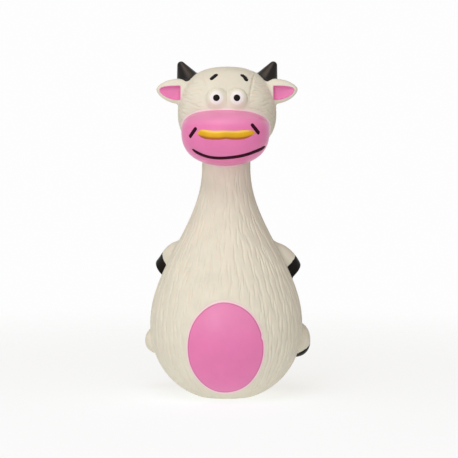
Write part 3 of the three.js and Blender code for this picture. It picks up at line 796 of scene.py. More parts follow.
def latex_look(name, slot, color, roughness, mottle=0.05, mottle_size=9, grain=0.05, grain_size=0.35,
               shine=0.5, coat=0, soft=0, tint=None, painted_light=None):
    """A moulded latex or plastic finish, and the slot of the record that it shows. tint is a colour that
    the mark paint brings in: real paint on some pieces, and painted highlights and painted shade on
    others. The other colour, which the other mark brings in, is painted shade in grooves and creases, and
    a painted highlight along the top of the nose ring."""
    material = bpy.data.materials.new(name)
    material.use_nodes = True
    tree = material.node_tree
    shader = tree.nodes["Principled BSDF"]
    patches = noise_of(tree, mottle_size, MOTTLE_DETAIL)
    shade = spread_of(tree, patches, 1 - mottle, 1 + mottle * MOTTLE_LIFT_SHARE, *MOTTLE_SPAN)
    gloss = spread_of(tree, patches, roughness - GLOSS_SPREAD, roughness + GLOSS_SPREAD)

    base = node_of(tree, "ShaderNodeRGB")
    base.outputs[0].default_value = (*color, 1)
    found = base.outputs[0]
    for mark, other in (("paint", tint), ("hair", painted_light)):
        if other is None:
            continue
        mask = node_of(tree, "ShaderNodeAttribute", attribute_name=mark).outputs["Fac"]
        inputs = {"Factor": mask, "A": found, "B": (*other, 1)}
        found = node_of(tree, "ShaderNodeMix", inputs, data_type="RGBA").outputs["Result"]
    shaded = node_of(tree, "ShaderNodeVectorMath", {0: found, "Scale": shade}, operation="SCALE")

    fine = noise_of(tree, grain_size, GRAIN_DETAIL)
    inputs = {"Strength": grain, "Distance": GRAIN_HEIGHT * MM, "Height": fine}
    bump = node_of(tree, "ShaderNodeBump", inputs)
    tree.links.new(shaded.outputs["Vector"], shader.inputs["Base Color"])
    tree.links.new(gloss, shader.inputs["Roughness"])
    tree.links.new(bump.outputs["Normal"], shader.inputs["Normal"])

    values = {"Specular IOR Level": shine, "Coat Weight": coat, "Coat Roughness": COAT_ROUGHNESS}
    if soft:
        values.update({
            "Subsurface Weight": soft, "Subsurface Radius": SOFT_REACH,
            "Subsurface Scale": SOFT_DEPTH * MM,
        })
    for label, value in values.items():
        shader.inputs[label].default_value = value
    return SimpleNamespace(material=material, slot=slot)


latex = latex_look("latex_cream", "latex_cream", CREAM, 0.7, shine=0.15, soft=0.14, grain=0.12,
                   painted_light=HAIR_SHADOW)
ear_latex = latex_look("latex_ear", "latex_cream", CREAM, 0.7, shine=0.15, soft=0.14, grain=0.12,
                       tint=PALE_PINK)
eye_latex = latex_look("latex_eye", "eye_white", CREAM, 0.5, shine=0.3, soft=0.1, grain=0.08, tint=WHITE)
pink = latex_look("latex_pink", "latex_pink", PINK, 0.42, shine=0.4, coat=0.4, soft=0.15, grain=0.06,
                  tint=PALE_PINK, painted_light=PINK_SHADE)
black = latex_look("latex_black", "latex_black", BLACK, 0.3, shine=0.16, mottle=0.3, grain=0.5,
                   grain_size=1.4, tint=BLACK_HIGHLIGHT)
dull_black = latex_look("hoof_black", "latex_black", BLACK, 0.4, shine=0.06, mottle=0.3, grain=0.4,
                        grain_size=1.2)
maroon = latex_look("line_paint", "latex_black", MAROON, 0.5, shine=0.05, mottle=0.3)
yellow = latex_look("ring_yellow", "ring_yellow", YELLOW, 0.38, shine=0.2, soft=0.1, mottle=0.12,
                    grain=0.06, tint=ORANGE_SHADE, painted_light=YELLOW_HIGHLIGHT)
plastic = latex_look("squeaker_plastic", "squeaker_plastic", PLASTIC_WHITE, 0.4, mottle=0.02, grain=0.04)
film = latex_look("reed_film", "reed_film", FILM_BLUE, 0.25, mottle=0.02, grain=0)
fibre = latex_look("fibre", "fibre", FIBRE_WHITE, 0.9, mottle=0.1, mottle_size=3, grain=0.8)


# Head, ears and horns

def head_field(points):
    return form_field(HEAD, points)


def neck_and_head(points):
    return joined(head_field(points), body_field(points), NECK_FILLET)


muzzle_field = rooted(partial(form_field, MUZZLE), neck_and_head, MUZZLE_FILLET, MUZZLE_SUNK)


def horn_ends(side):
    return np.array([
        HEAD.centre + (side * (HEAD.side - inset), HORN_SET_BACK, HEAD.up - depth)
        for inset, depth, _ in (HORN_ROOT, HORN_TIP)
    ])


def horn_cone_field(side, points):
    """The distance to a round cone between the horn's root and its tip."""
    root, tip = horn_ends(side)
    root_radius, tip_radius = HORN_ROOT[2], HORN_TIP[2]
    along = tip - root
    length = np.linalg.norm(along)
    lean = (root_radius - tip_radius) / length
    rise = (points - root) @ along / length
    out = np.linalg.norm(points - root - rise[:, None] * along / length, axis=1)
    place = np.clip(rise - out * lean / math.sqrt(1 - lean**2), 0, length)
    return np.hypot(out, rise - place) - root_radius + lean * place


def ear_middle(side):
    return HEAD.centre + (side * EAR_ROOT, -EAR_FORWARD, EAR_RISE)


def ear_blank_field(side, points):
    return form_field(EAR, points - ear_middle(side))


def scoop_excess(side, points):
    return form_level(SCOOP, points - ear_middle(side) - SCOOP.centre * (side, 1, 1)) - 1


def scoop_field(side, points):
    """The scoop in an ear's front, with a wall across its root."""
    excess = partial(scoop_excess, side)
    steepness = np.linalg.norm(slope_of(excess, points), axis=1)
    wall = -SCOOP_ROOT - side * (points - ear_middle(side))[:, 0]
    return np.maximum(excess(points) / np.maximum(steepness, SCOOP_LEAST_SLOPE), wall)


def ear_field(side, points):
    return -joined(-ear_blank_field(side, points), scoop_field(side, points), SCOOP_LIP)


def lining_field(ear, side, points):
    """A thin layer of paint in an ear's scoop. ear is the field of the whole ear."""
    skin = ear(points)
    bowl = np.maximum(skin - LINING_PROUD, scoop_field(side, points) - LINING_SPREAD)
    return np.maximum(bowl, -skin - LINING_DEPTH)


# Limbs

def on_body(side, angle, z, lift):
    """A point by the body: an angle back from the side in degrees, a height and a lift off the skin."""
    turn = math.radians(angle)
    reach = float(body_radius(np.array(z))) + lift
    return np.array([side * reach * math.cos(turn), reach * math.sin(turn), z])


def outward(point, tilt):
    """A direction straight out of the body at a point, tilted down by so many degrees."""
    level = unit(point * (1, 1, 0))
    return level * math.cos(math.radians(tilt)) - np.array([0, 0, math.sin(math.radians(tilt))])


def arm_parts(name):
    """An arm's path, its radius at each point, its wrist, and the planes that bound the hoof."""
    places = [on_body(SIDES[name], *place) for place in ARMS[name]]
    path = curve_through(places, ARM_POINTS)
    wrist = places[WRIST_INDEX]
    return SimpleNamespace(
        path=path, radii=np.full(len(path), ARM_RADIUS), wrist=wrist,
        normal=outward(wrist, WRIST_TILTS[name]), sole=outward(wrist, SOLE_TILTS[name]),
        hoof_length=HOOF_LENGTHS[name], back=WRIST_BACKS[name],
    )


def arm_field(limb, points):
    """The arm, flattened where its hoof ends."""
    past = (points - limb.wrist) @ limb.sole - limb.hoof_length
    return -joined(-path_field(limb.path, limb.radii, points), -past, HOOF_ROUND)


def leg_field(name, points):
    side = SIDES[name]
    angle, z, lift = LEGS[name]
    turn = math.radians(angle) if side > 0 else math.pi - math.radians(angle)
    local = points - on_body(side, angle, z, lift)
    x = local[:, 0] * math.cos(turn) + local[:, 1] * math.sin(turn)
    y = local[:, 1] * math.cos(turn) - local[:, 0] * math.sin(turn)
    return form_field(LEG_FORMS[name], np.stack([x, y, local[:, 2]], axis=1))


def tail_parts():
    """The tail's path and radii, and the place and direction at which its tuft starts."""
    places = [on_body(1, *place) for place in TAIL]
    path = curve_through(places, TAIL_POINTS)
    start = np.argmin(np.linalg.norm(path - places[TUFT_INDEX], axis=1))
    share = np.linspace(0, 1, len(path))
    past = np.maximum(0, (share - share[start]) / (1 - share[start]))
    ends = TAIL_RADIUS + (TUFT_TIP_RADIUS - TAIL_RADIUS) * past
    radii = ends + (TUFT_RADIUS - ends) * np.sin(np.pi * past)
    normal = unit(path[start + 1] - path[start - 1])
    return SimpleNamespace(path=path, radii=radii, wrist=path[start], normal=normal)


arms = {name: arm_parts(name) for name in SIDES}
tail = tail_parts()


# The body

def patch_share(points):
    """How far from the middle of the belly patch, as a share of the way to its edge."""
    across = (points[:, 0] - PATCH_SHIFT) / PATCH_HALF_WIDTH
    along = (points[:, 2] - PATCH_HEIGHT) / PATCH_HALF_HEIGHT
    return np.hypot(across, along) + FAR_OFF * (points[:, 1] > 0)


def limb_clearance(points):
    """The distance to the nearest limb, patch or head on the body."""
    gaps = [arm_field(limb, points) for limb in arms.values()]
    gaps += [leg_field(name, points) for name in SIDES]
    gaps.append(path_field(tail.path, tail.radii, points))
    gaps.append((patch_share(points) - 1) * PATCH_HALF_WIDTH + PATCH_CLEARANCE)
    gaps.append(head_field(points) + HEAD_CLEARANCE)
    gaps.append(form_field(MUZZLE, points) + MUZZLE_CLEARANCE)
    return np.minimum.reduce(gaps)


def body_profile(base):
    """The base's radii and heights, and after them those of the skin at even steps."""
    fine = np.linspace(0, NECK_TOP + NECK_END, PROFILE_POINTS)
    radius = body_radius(fine)
    length = np.concatenate([[0], np.cumsum(np.hypot(np.diff(fine), np.diff(radius)))])
    even = np.linspace(BODY_FIRST_STEP, length[-1], BODY_ROWS)
    z = np.interp(even, length, fine)
    return np.concatenate([base, np.stack([body_radius(z), z], axis=1)])


def make_body():
    base = [
        (HOLE_RADIUS, HOLE_TOP), (HOLE_RADIUS, FLANGE_TOP), (HOLE_RADIUS + HOLE_EDGE, FLANGE_TOP),
        (RECESS_RADIUS, FLANGE_TOP), (RECESS_RADIUS, LIP_ROUND),
        *((radius, 0) for radius in STAND_RADII), STAND_EDGE,
    ]
    profile = body_profile(base)
    points = turned(profile, BODY_SIDES)
    outer = np.arange(len(points)) >= len(base) * BODY_SIDES
    cut = np.zeros(len(points))
    cut[outer] = hair_cut(points[outer], body_hair(np.random.default_rng(HAIR_SEED)))
    cut *= smooth(*HAIR_LIMB_FADE, limb_clearance(points)) * smooth(*HAIR_BASE_FADE, points[:, 2])
    cut *= 1 - HAIR_THIN_SHARE * smooth(*HAIR_THIN_HEIGHTS, points[:, 2])
    normal = unit(slope_of(body_field, points))
    dip = PATCH_DEPTH * (1 - smooth(*PATCH_DIP_SHARES, patch_share(points)))
    points = points - normal * (HAIR_DEPTH * cut + dip)[:, None]
    ends = [(0, 0, HOLE_TOP), (0, 0, NECK_TOP + NECK_END + NECK_CAP_RISE)]
    # Painted shade in the hair grooves, darker where a groove is deeper.
    painted_light = HAIR_PAINTED_SHADE * np.concatenate([cut, [0, 0]])
    faces = ring_faces(len(profile), BODY_SIDES)
    make_piece("body", np.concatenate([points, ends]), faces, latex, "body_shell", hair=painted_light)


def make_patch():
    turn = 2 * np.pi * np.arange(PATCH_SIDES) / PATCH_SIDES
    top = np.concatenate([np.linspace(*shares) for shares in PATCH_TOP_SHARES])
    under = np.linspace(*PATCH_UNDER_SHARES)
    share = np.concatenate([top, PATCH_EDGE_SHARES, under])
    crown = np.sqrt(np.clip((PATCH_EDGE_SHARES[0] - top) / PATCH_ROUND_SHARE, 0, 1))
    moat = np.exp(-(((share - MOAT_SHARE) / MOAT_WIDTH_SHARE) ** 2))
    height = np.concatenate([
        PATCH_PROUD * crown - MOAT_DEPTH * moat[:len(top)],
        [-PATCH_EDGE_DROP],
        np.full(1 + len(under), PATCH_GAP - PATCH_DEPTH),
    ])
    wobble = sum(size * np.sin(waves * turn + start) for size, waves, start in PATCH_WOBBLE_SHARES)
    edge = (1 + wobble) * (1 - NOTCH_SHARE * np.exp(-(((turn - NOTCH_TURN) / NOTCH_WIDTH) ** 2)))
    x = PATCH_SHIFT + PATCH_HALF_WIDTH * share[:, None] * np.cos(turn) * edge
    z = PATCH_HEIGHT + PATCH_HALF_HEIGHT * share[:, None] * np.sin(turn) * edge
    y = -np.sqrt(np.maximum(0, body_radius(z) ** 2 - x**2))
    points = np.stack([x, y, z], axis=-1).reshape(-1, 3)
    normal = unit(slope_of(body_field, points))
    points = points + normal * np.repeat(height, PATCH_SIDES)[:, None]
    centre = np.array([PATCH_SHIFT, -float(body_radius(np.array(PATCH_HEIGHT))), PATCH_HEIGHT])
    ends = [centre - (0, PATCH_PROUD, 0), centre + (0, PATCH_DEPTH, 0)]
    rim = np.repeat(smooth(*PATCH_RIM_SHARES, share), PATCH_SIDES)
    # A painted highlight on the upper part of the patch; the rim is the real pale edge of the paint.
    painted_top_highlight = PATCH_PAINTED_HIGHLIGHT * smooth(0, PATCH_HIGHLIGHT_SHARE * PATCH_HALF_HEIGHT, points[:, 2] - PATCH_HEIGHT)
    paint = np.concatenate([np.maximum(rim, painted_top_highlight), [0, 0]])
    # Painted shade along the fine groove inside the rim.
    groove = np.concatenate([np.repeat(MOAT_PAINTED_SHADE * moat, PATCH_SIDES), [0, 0]])
    faces = [part[:, ::-1] for part in ring_faces(len(share), PATCH_SIDES)]
    points = np.concatenate([points, ends])
    make_piece("belly_paint", points, faces, pink, "belly_patch", paint=paint, hair=groove)


# The head

def photo_ray(px, py):
    """The direction from the camera through a pixel of the photograph."""
    forward = unit(AIM_PLACE - CAMERA_PLACE)
    right = unit(np.cross(forward, (0, 0, 1)))
    up = np.cross(right, forward)
    reach = np.linalg.norm(AIM_PLACE - CAMERA_PLACE)
    middle = FRAME_PIXELS / 2
    return unit(forward * reach + right * (px - middle) * PIXEL - up * (py - middle) * PIXEL)


def from_photo(pixels, field):
    """The points of a surface that the camera sees at pixels of the photograph."""
    distances = CAMERA_DISTANCE * np.linspace(*SIGHT_SHARES, SIGHT_STEPS)
    places = []
    for px, py in pixels:
        along = CAMERA_PLACE + photo_ray(px, py) * distances[:, None]
        values = field(along)
        inside = np.flatnonzero(values < 0)
        places.append(along[inside[0] if len(inside) else np.argmin(values)])
    return settled(np.array(places), field)


def drawn(pixels, field, count=STROKE_POINTS):
    """A line on a surface, through pixels of the photograph."""
    return settled(curve_through(from_photo(pixels, field), count), field)


def make_head():
    field = rooted(head_field, body_field, NECK_FILLET, SUNK)
    rows = np.linspace(*HEAD_ANGLES, HEAD_ROWS)
    points, *faces = star_mesh(field, HEAD.centre, (0, 0, 1), rows, HEAD_SIDES, RAY_REACH)
    cut = hair_cut(points, head_hair(np.random.default_rng(HEAD_HAIR_SEED)))
    x, y, _ = (points - HEAD.centre).T
    beside = smooth(*FOREHEAD_EDGE, np.abs(x + FOREHEAD_SHIFT))
    cut *= np.clip(beside + smooth(0, FOREHEAD_BACK, y), 0, 1)
    for side in SIDES.values():
        cut *= smooth(*EAR_HAIR_FADE, ear_blank_field(side, points))
        cut *= smooth(*HORN_HAIR_FADE, horn_cone_field(side, points))
    cut *= smooth(*MUZZLE_HAIR_FADE, form_field(MUZZLE, points))
    cut *= smooth(*NECK_HAIR_FADE, body_field(points) + FAR_OFF * (points[:, 2] > NECK_HAIR_TOP))
    crease = np.zeros(len(points))
    for pixels, weight in zip(CREASE_PIXELS, CREASE_WEIGHTS):
        near, depth = line_cut(points, drawn(pixels, head_field), CREASE_HALF_WIDTH)
        crease[near] = np.maximum(crease[near], depth * weight)
    normal = unit(slope_of(head_field, points))
    points = points - normal * (HEAD_HAIR_DEPTH * cut + CREASE_DEPTH * crease)[:, None]
    # Painted shade in the hair grooves and creases of the head.
    painted_light = HEAD_HAIR_PAINTED_SHADE * cut + CREASE_PAINTED_SHADE * crease
    make_piece("head", points, faces, latex, "head_shell", hair=painted_light)


def make_muzzle(mouth):
    rows = np.concatenate([np.linspace(*angles) for angles in MUZZLE_ROWS])
    points, *faces = star_mesh(muzzle_field, MUZZLE.centre, (0, -1, 0), rows, MUZZLE_SIDES, RAY_REACH)
    near, depth = line_cut(points, mouth, MOUTH_GROOVE_HALF_WIDTH, taper=False)
    groove = np.zeros(len(points))
    groove[near] = depth
    normal = unit(slope_of(muzzle_field, points))
    rim = 1 - smooth(*MUZZLE_RIM, neck_and_head(points))
    # A painted highlight on the upper part of the muzzle; the rim is the real pale edge of the paint.
    painted_top_highlight = MUZZLE_PAINTED_HIGHLIGHT * smooth(*MUZZLE_HIGHLIGHT_RISE, points[:, 2] - MUZZLE.centre[2])
    points = points - normal * (MOUTH_GROOVE_DEPTH * groove)[:, None]
    make_piece("muzzle_skin", points, faces, pink, "muzzle", paint=np.maximum(rim, painted_top_highlight))


def make_stroke(name, path, field, half_width, look,
                sink=0, proud=STROKE_PROUD, taper=STROKE_TAPER_SHARE):
    """A painted line as a thin raised strip on a surface."""
    normal = unit(slope_of(field, path))
    along = unit(np.gradient(path, axis=0))
    across = unit(np.cross(along, normal))
    share = np.linspace(0, 1, len(path))
    width = half_width * np.sqrt(np.clip(np.minimum(share, 1 - share) / taper, 0, 1))
    width = np.maximum(width, STROKE_LEAST)[:, None]
    rise = np.minimum(proud, width)
    rings = [
        path + across * np.cos(turn) * width + normal * (np.sin(turn) * rise - sink)
        for turn in np.linspace(0, 2 * np.pi, STROKE_SIDES, endpoint=False)
    ]
    points = np.stack(rings, axis=1).reshape(-1, 3)
    ends = path[[0, -1]] - normal[[0, -1]] * sink
    make_piece(name, np.concatenate([points, ends]), ring_faces(len(path), STROKE_SIDES), look)


def make_face(mouth):
    """The mouth, nostrils and brows, which no CAD node stands for."""
    make_stroke("mouth_line", mouth, muzzle_field, MOUTH_HALF_WIDTH, maroon, MOUTH_SINK, MOUTH_PROUD)
    for name, pixels in NOSTRIL_PIXELS.items():
        path = drawn(pixels, muzzle_field)
        make_stroke(f"nostril_{name}", path, muzzle_field, NOSTRIL_HALF_WIDTH, maroon)
    for name, pixels in BROW_PIXELS.items():
        path = drawn(pixels, head_field)
        make_stroke(f"brow_{name}", path, head_field, BROW_HALF_WIDTH, dull_black, taper=BROW_TAPER_SHARE)


def make_ring():
    share = np.linspace(-1, 1, len(RING_SAG_SHARES))
    level = RING_RISE - RING_SAG * RING_SAG_SHARES
    knots = front_of(MUZZLE, RING_SHIFT + RING_HALF_WIDTH * share, level) + (0, RING_SINK, 0)
    path = curve_through(knots, RING_POINTS)
    place = np.linspace(0, 1, len(path))
    first, last = RING_TAPER_SHARES
    ends = np.sqrt(np.clip(np.minimum(place / first, (1 - place) / last), RING_END_SHARE, 1))
    waist = 1 - RING_WAIST_SHARE * np.exp(-(((place - 0.5) / RING_WAIST_WIDTH_SHARE) ** 2))
    own = partial(path_field, path, RING_RADIUS * ends * waist)
    field = rooted(own, partial(form_field, MUZZLE), RING_FILLET, RING_SUNK)
    points, quads = field_mesh(field, path.min(0) - RING_MARGIN, path.max(0) + RING_MARGIN, RING_PITCH)
    # Painted shade along the lower side of the ring and a painted highlight along its top.
    rise = points[:, 2] - np.interp(points[:, 0], path[:, 0], path[:, 2])
    below = 1 - smooth(*RING_SHADE_RISE, rise)
    above = smooth(*RING_LIGHT_RISE, rise)
    make_piece("nose_ring_skin", points, [quads], yellow, "nose_ring", paint=below, hair=above)


def make_eye(name, side):
    middle = HEAD.centre[0] + EYE_SHIFT
    centre = front_of(HEAD, np.array(EYE_SHIFT + side * EYE_SPACING / 2), np.array(EYE_RISE))
    ball = dome(centre, EYE_RADIUS, EYE_BULGE)
    bulge = rooted(partial(form_field, ball), head_field, EYE_FILLET, EYE_SUNK)

    def field(points):
        return np.maximum(bulge(points), -side * (points[:, 0] - middle))

    reach = EYE_RADIUS + EYE_MARGIN
    points, quads = field_mesh(field, centre - reach, centre + reach, EYE_PITCH)
    away = np.hypot(points[:, 0] - centre[0], points[:, 2] - centre[2])
    white = 1 - smooth(*EYE_WHITE_RADII, away)
    make_piece(f"eye_{name}", points, [quads], eye_latex, f"eyeball_{name}", paint=white)
    place = centre - (0, EYE_BULGE + PUPIL_PROUD - PUPIL_DEPTH, 0)
    pupil = partial(form_field, dome(place, PUPIL_RADIUS, PUPIL_DEPTH))
    rows = np.linspace(PUPIL_POLE, np.pi - PUPIL_POLE, PUPIL_ROWS)
    points, *faces = star_mesh(pupil, place, (0, -1, 0), rows, PUPIL_SIDES, PUPIL_REACH)
    make_piece(f"pupil_paint_{name}", points, faces, dull_black, f"pupil_{name}")


def make_ear(name, side):
    ear = rooted(partial(ear_field, side), head_field, EAR_FILLET, SUNK)
    low, high = ear_middle(side) + np.array(EAR_BOX)
    points, quads = field_mesh(ear, low, high, EAR_PITCH)
    blush = EAR_BLUSH * smooth(*EAR_BLUSH_EDGE, -scoop_field(side, points))
    make_piece(f"ear_skin_{name}", points, [quads], ear_latex, f"ear_{name}", paint=blush)
    points, quads = field_mesh(partial(lining_field, ear, side), low, high, LINING_PITCH)
    make_piece(f"ear_paint_{name}", points, [quads], pink, f"ear_lining_{name}")


def make_horn(name, side):
    def carrier(points):
        return joined(head_field(points), ear_blank_field(side, points), EAR_FILLET)

    field = rooted(partial(horn_cone_field, side), carrier, HORN_FILLET, HORN_SUNK)
    ends = horn_ends(side)
    low = ends.min(0) - HORN_MARGIN
    high = ends.max(0) + HORN_MARGIN
    points, quads = field_mesh(field, low, high, HORN_PITCH)
    # A painted highlight along the side of each horn that faces the lamps, above its root.
    along = unit(ends[1] - ends[0])
    rise = (points - ends[0]) @ along
    out = unit(points - ends[0] - rise[:, None] * along)
    facing = out @ unit(np.array(HORN_RIDGE_FACING) * (side, 1, 1))
    ridge = smooth(*HORN_RIDGE_EDGE, facing) * smooth(*HORN_RIDGE_RISE, rise)
    painted_ridge_highlight = HORN_HIGHLIGHT_TINT * ridge
    make_piece(f"horn_skin_{name}", points, [quads], black, f"horn_{name}", paint=painted_ridge_highlight)


# Limbs, parted where their paint changes

def make_limb(own, wrist, normal, low, high, pitch, near, far):
    """A limb and its hoof or tuft. near and far each hold a name, a look and a node."""
    whole = rooted(own, body_field, LIMB_FILLET, SUNK)

    def skin(points):
        return np.maximum(whole(points), (points - wrist) @ normal - PAINT_OVERLAP)

    def paint(points):
        return np.maximum(whole(points) - PAINT_LAYER, -((points - wrist) @ normal))

    for (name, look, node), field in ((near, skin), (far, paint)):
        points, quads = field_mesh(field, low, high, pitch)
        make_piece(name, points, [quads], look, node)


def make_arm(name):
    limb = arms[name]
    make_limb(
        partial(arm_field, limb), limb.wrist - limb.normal * limb.back, limb.normal,
        limb.path.min(0) - ARM_MARGIN, limb.path.max(0) + ARM_MARGIN, LIMB_PITCH,
        (f"arm_skin_{name}", latex, f"arm_{name}"),
        (f"arm_hoof_paint_{name}", dull_black, f"arm_hoof_{name}"),
    )


def make_leg(name):
    side = SIDES[name]
    centre = on_body(side, *LEGS[name])
    normal = unit(np.array(LEG_HOOF_FACING[name]) * (side, 1, 1))
    make_limb(
        partial(leg_field, name), centre + normal * LEG_HOOF_DROPS[name], normal,
        centre - LEG_MARGIN, centre + LEG_MARGIN, LEG_PITCH,
        (f"leg_skin_{name}", latex, f"leg_{name}"),
        (f"leg_hoof_paint_{name}", dull_black, f"leg_hoof_{name}"),
    )


def make_tail():
    make_limb(
        partial(path_field, tail.path, tail.radii), tail.wrist, tail.normal,
        tail.path.min(0) - TAIL_MARGIN, tail.path.max(0) + TAIL_MARGIN, LIMB_PITCH,
        ("tail_skin", latex, "tail"), ("tail_tuft_paint", black, "tail_tuft"),
    )


# What is inside

def filling_field(points):
    """The stuffing, a little lumpy, with a pocket round the squeaker."""
    x, y, z = points.T
    trunk = np.maximum(body_field(points) + FILLING_INSET, FILLING_BOTTOM - z)
    muzzle = form_field(MUZZLE, points) + FILLING_INSET
    head = joined(head_field(points) + FILLING_INSET, muzzle, MUZZLE_STUFFING_FILLET)
    whole = joined(trunk, head, NECK_STUFFING_FILLET)
    pocket = np.maximum(np.hypot(x, y) - POCKET_RADIUS, z - POCKET_TOP)
    lumps = LUMP_HEIGHT
    for along, size in zip((x, y, z), LUMP_SIZES):
        lumps = lumps * np.sin(along / size)
    return np.maximum(whole + FILLING_GAP + lumps, -pocket)


def make_turned(name, profile, node):
    """A turned plastic piece with slightly rounded edges."""
    corners = np.array(profile, float)
    rounded = []
    for last, here, ahead in zip(np.roll(corners, 1, axis=0), corners, np.roll(corners, -1, axis=0)):
        back = last - here
        on = ahead - here
        shorter = min(np.linalg.norm(back), np.linalg.norm(on))
        reach = min(PLASTIC_ROUND, PLASTIC_ROUND_SHARE * shorter)
        start = here + unit(back) * reach
        end = here + unit(on) * reach
        for t in (0, 0.5, 1):
            rounded.append((1 - t) ** 2 * start + 2 * t * (1 - t) * here + t**2 * end)
    starts = PLASTIC_SIDES * np.arange(len(rounded))
    faces = [
        band_faces(first, second, PLASTIC_SIDES)
        for first, second in zip(starts, np.roll(starts, -1))
    ]
    make_piece(name, turned(np.array(rounded), PLASTIC_SIDES), faces, plastic, node)


def make_squeaker():
    cup = [
        (CAP_SEAT_RADIUS, UNDERSIDE), (FLANGE_RADIUS, UNDERSIDE), (FLANGE_RADIUS, FLANGE_TOP),
        (CUP_RADIUS, FLANGE_TOP), (CUP_RADIUS, BARB_BOTTOM), (BARB_RADIUS, BARB_BOTTOM),
        (BARB_RADIUS, BARB_EDGE_TOP), (CUP_RADIUS, BARB_TOP), (CUP_RADIUS, CUP_TOP),
        (INLET_RADIUS, CUP_TOP), (INLET_RADIUS, CUP_TOP - CUP_ROOF), (CUP_BORE, CUP_TOP - CUP_ROOF),
        (CUP_BORE, CAP_TOP), (CAP_SEAT_RADIUS, CAP_TOP),
    ]
    cap = [
        (VENT_RADIUS, UNDERSIDE), (CAP_RADIUS, UNDERSIDE), (CAP_RADIUS, CAP_TOP),
        (SOCKET_RADIUS, CAP_TOP), (SOCKET_RADIUS, SOCKET_TOP), (SOCKET_BORE, SOCKET_TOP),
        (SOCKET_BORE, CAP_TOP), (VENT_RADIUS, CAP_TOP),
    ]
    make_turned("squeaker_cup_body", cup, "squeaker_cup")
    make_turned("squeaker_cap_body", cap, "squeaker_cap")
    for node, look in (("reed_block", plastic), ("reed_clamp", plastic), ("reed", film)):
        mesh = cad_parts[node].data
        mesh.materials.clear()
        mesh.materials.append(look.material)


# Stage, light and camera

def seen_rays(tree):
    """1 for rays that show what they hit: the camera's, mirrored ones and ones through glass."""
    rays = node_of(tree, "ShaderNodeLightPath")
    found = rays.outputs["Is Camera Ray"]
    for kind in ("Is Glossy Ray", "Is Transmission Ray"):
        inputs = {0: found, 1: rays.outputs[kind]}
        found = node_of(tree, "ShaderNodeMath", inputs, operation="MAXIMUM").outputs[0]
    return found


def mixed_shader(tree, share, first, second):
    """Two shaders' outputs as one, with this share of the second."""
    return node_of(tree, "ShaderNodeMixShader", {"Fac": share, 1: first, 2: second}).outputs[0]


def floor_material():
    """A pale floor that is clear far from the toy, so that it ends in the backdrop."""
    material = bpy.data.materials.new("floor")
    material.use_nodes = True
    tree = material.node_tree
    tree.nodes.clear()
    diffuse = node_of(tree, "ShaderNodeBsdfDiffuse", {"Color": (*FLOOR_SHADE, 1)})
    strength = spread_of(tree, seen_rays(tree), FLOOR_BOUNCE, FLOOR_GLOW)
    glow = node_of(tree, "ShaderNodeEmission", {"Color": (*FLOOR_WARMTH, 1), "Strength": strength})
    both = node_of(tree, "ShaderNodeAddShader", {0: diffuse.outputs[0], 1: glow.outputs[0]})
    place = node_of(tree, "ShaderNodeTexCoord").outputs["Object"]
    far = node_of(tree, "ShaderNodeVectorMath", {0: place}, operation="LENGTH").outputs["Value"]
    start, end = FLOOR_REACH
    inputs = {"Value": far, "From Min": start, "From Max": end}
    fade = node_of(tree, "ShaderNodeMapRange", inputs, interpolation_type="SMOOTHSTEP")
    clear = node_of(tree, "ShaderNodeBsdfTransparent")
    surface = mixed_shader(tree, fade.outputs["Result"], both.outputs[0], clear.outputs[0])
    node_of(tree, "ShaderNodeOutputMaterial", {"Surface": surface})
    return material


def make_stage():
    mesh = bpy.data.meshes.new("floor")
    corners = [(FLOOR_SIZE * x, FLOOR_SIZE * y, 0) for x, y in ((-1, -1), (1, -1), (1, 1), (-1, 1))]
    mesh.from_pydata(corners, [], [(0, 1, 2, 3)])
    mesh.materials.append(floor_material())
    floor = bpy.data.objects.new("floor", mesh)
    bpy.context.scene.collection.objects.link(floor)


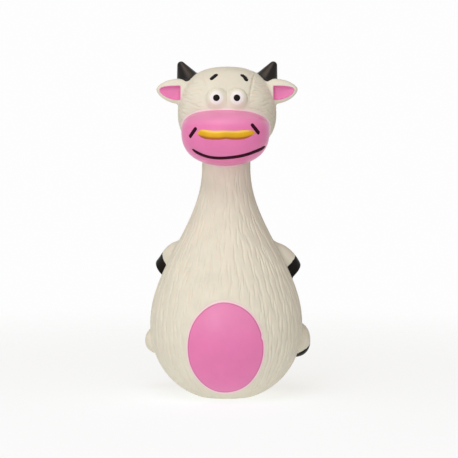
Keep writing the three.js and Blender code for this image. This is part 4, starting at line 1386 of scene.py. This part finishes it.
def make_world():
    """A pale backdrop to look at, and a fill light that comes mostly from before the toy."""
    world = bpy.data.worlds.new("studio")
    bpy.context.scene.world = world
    world.use_nodes = True
    tree = world.node_tree
    tree.nodes.clear()
    place = node_of(tree, "ShaderNodeTexCoord").outputs["Generated"]
    inputs = {0: place, 1: FILL_FROM}
    facing = node_of(tree, "ShaderNodeVectorMath", inputs, operation="DOT_PRODUCT").outputs["Value"]
    share = spread_of(tree, facing, 0, 1, FILL_EDGE)
    inputs = {"Factor": share, "A": (*FILL_BEHIND, 1), "B": (*FILL_BEFORE, 1)}
    blend = node_of(tree, "ShaderNodeMix", inputs, data_type="RGBA").outputs["Result"]
    fill = node_of(tree, "ShaderNodeBackground", {"Color": blend})
    white = node_of(tree, "ShaderNodeBackground", {"Color": (*BACKDROP, 1)})
    surface = mixed_shader(tree, seen_rays(tree), fill.outputs[0], white.outputs[0])
    node_of(tree, "ShaderNodeOutputWorld", {"Surface": surface})


def aimed(thing, place, aim):
    """Puts a lamp or the camera at a place, looking at another."""
    thing.location = place
    thing.rotation_mode = "QUATERNION"
    thing.rotation_quaternion = (Vector(aim) - Vector(place)).to_track_quat("-Z", "Y")
    bpy.context.scene.collection.objects.link(thing)


def make_lamp(name, place, size, power):
    data = bpy.data.lights.new(name, "AREA")
    data.shape = "DISK"
    data.size = size
    data.energy = power
    aimed(bpy.data.objects.new(name, data), place, LAMP_AIM)


def make_camera():
    data = bpy.data.cameras.new("camera")
    camera = bpy.data.objects.new("camera", data)
    distance = float(np.linalg.norm(AIM_PLACE - CAMERA_PLACE))
    data.sensor_width = SENSOR_WIDTH
    data.lens = SENSOR_WIDTH * distance / (PIXEL * FRAME_PIXELS)
    aimed(camera, CAMERA_PLACE * MM, AIM_PLACE * MM)
    bpy.context.scene.camera = camera


make_camera()
make_body()
make_patch()
make_head()
mouth = drawn(MOUTH_PIXELS, muzzle_field, MOUTH_POINTS)
make_muzzle(mouth)
make_face(mouth)
make_ring()
for maker in (make_eye, make_ear, make_horn):
    for name, side in SIDES.items():
        maker(name, side)
for name in SIDES:
    make_arm(name)
    make_leg(name)
make_tail()
points, quads = field_mesh(filling_field, *FILLING_BOX, FILLING_PITCH)
make_piece("stuffing", points, [quads], fibre, "fibre_filling")
make_squeaker()
make_stage()
make_world()
for name, lamp in LAMPS.items():
    make_lamp(name, **lamp)
bpy.context.scene.view_settings.view_transform = "Standard"
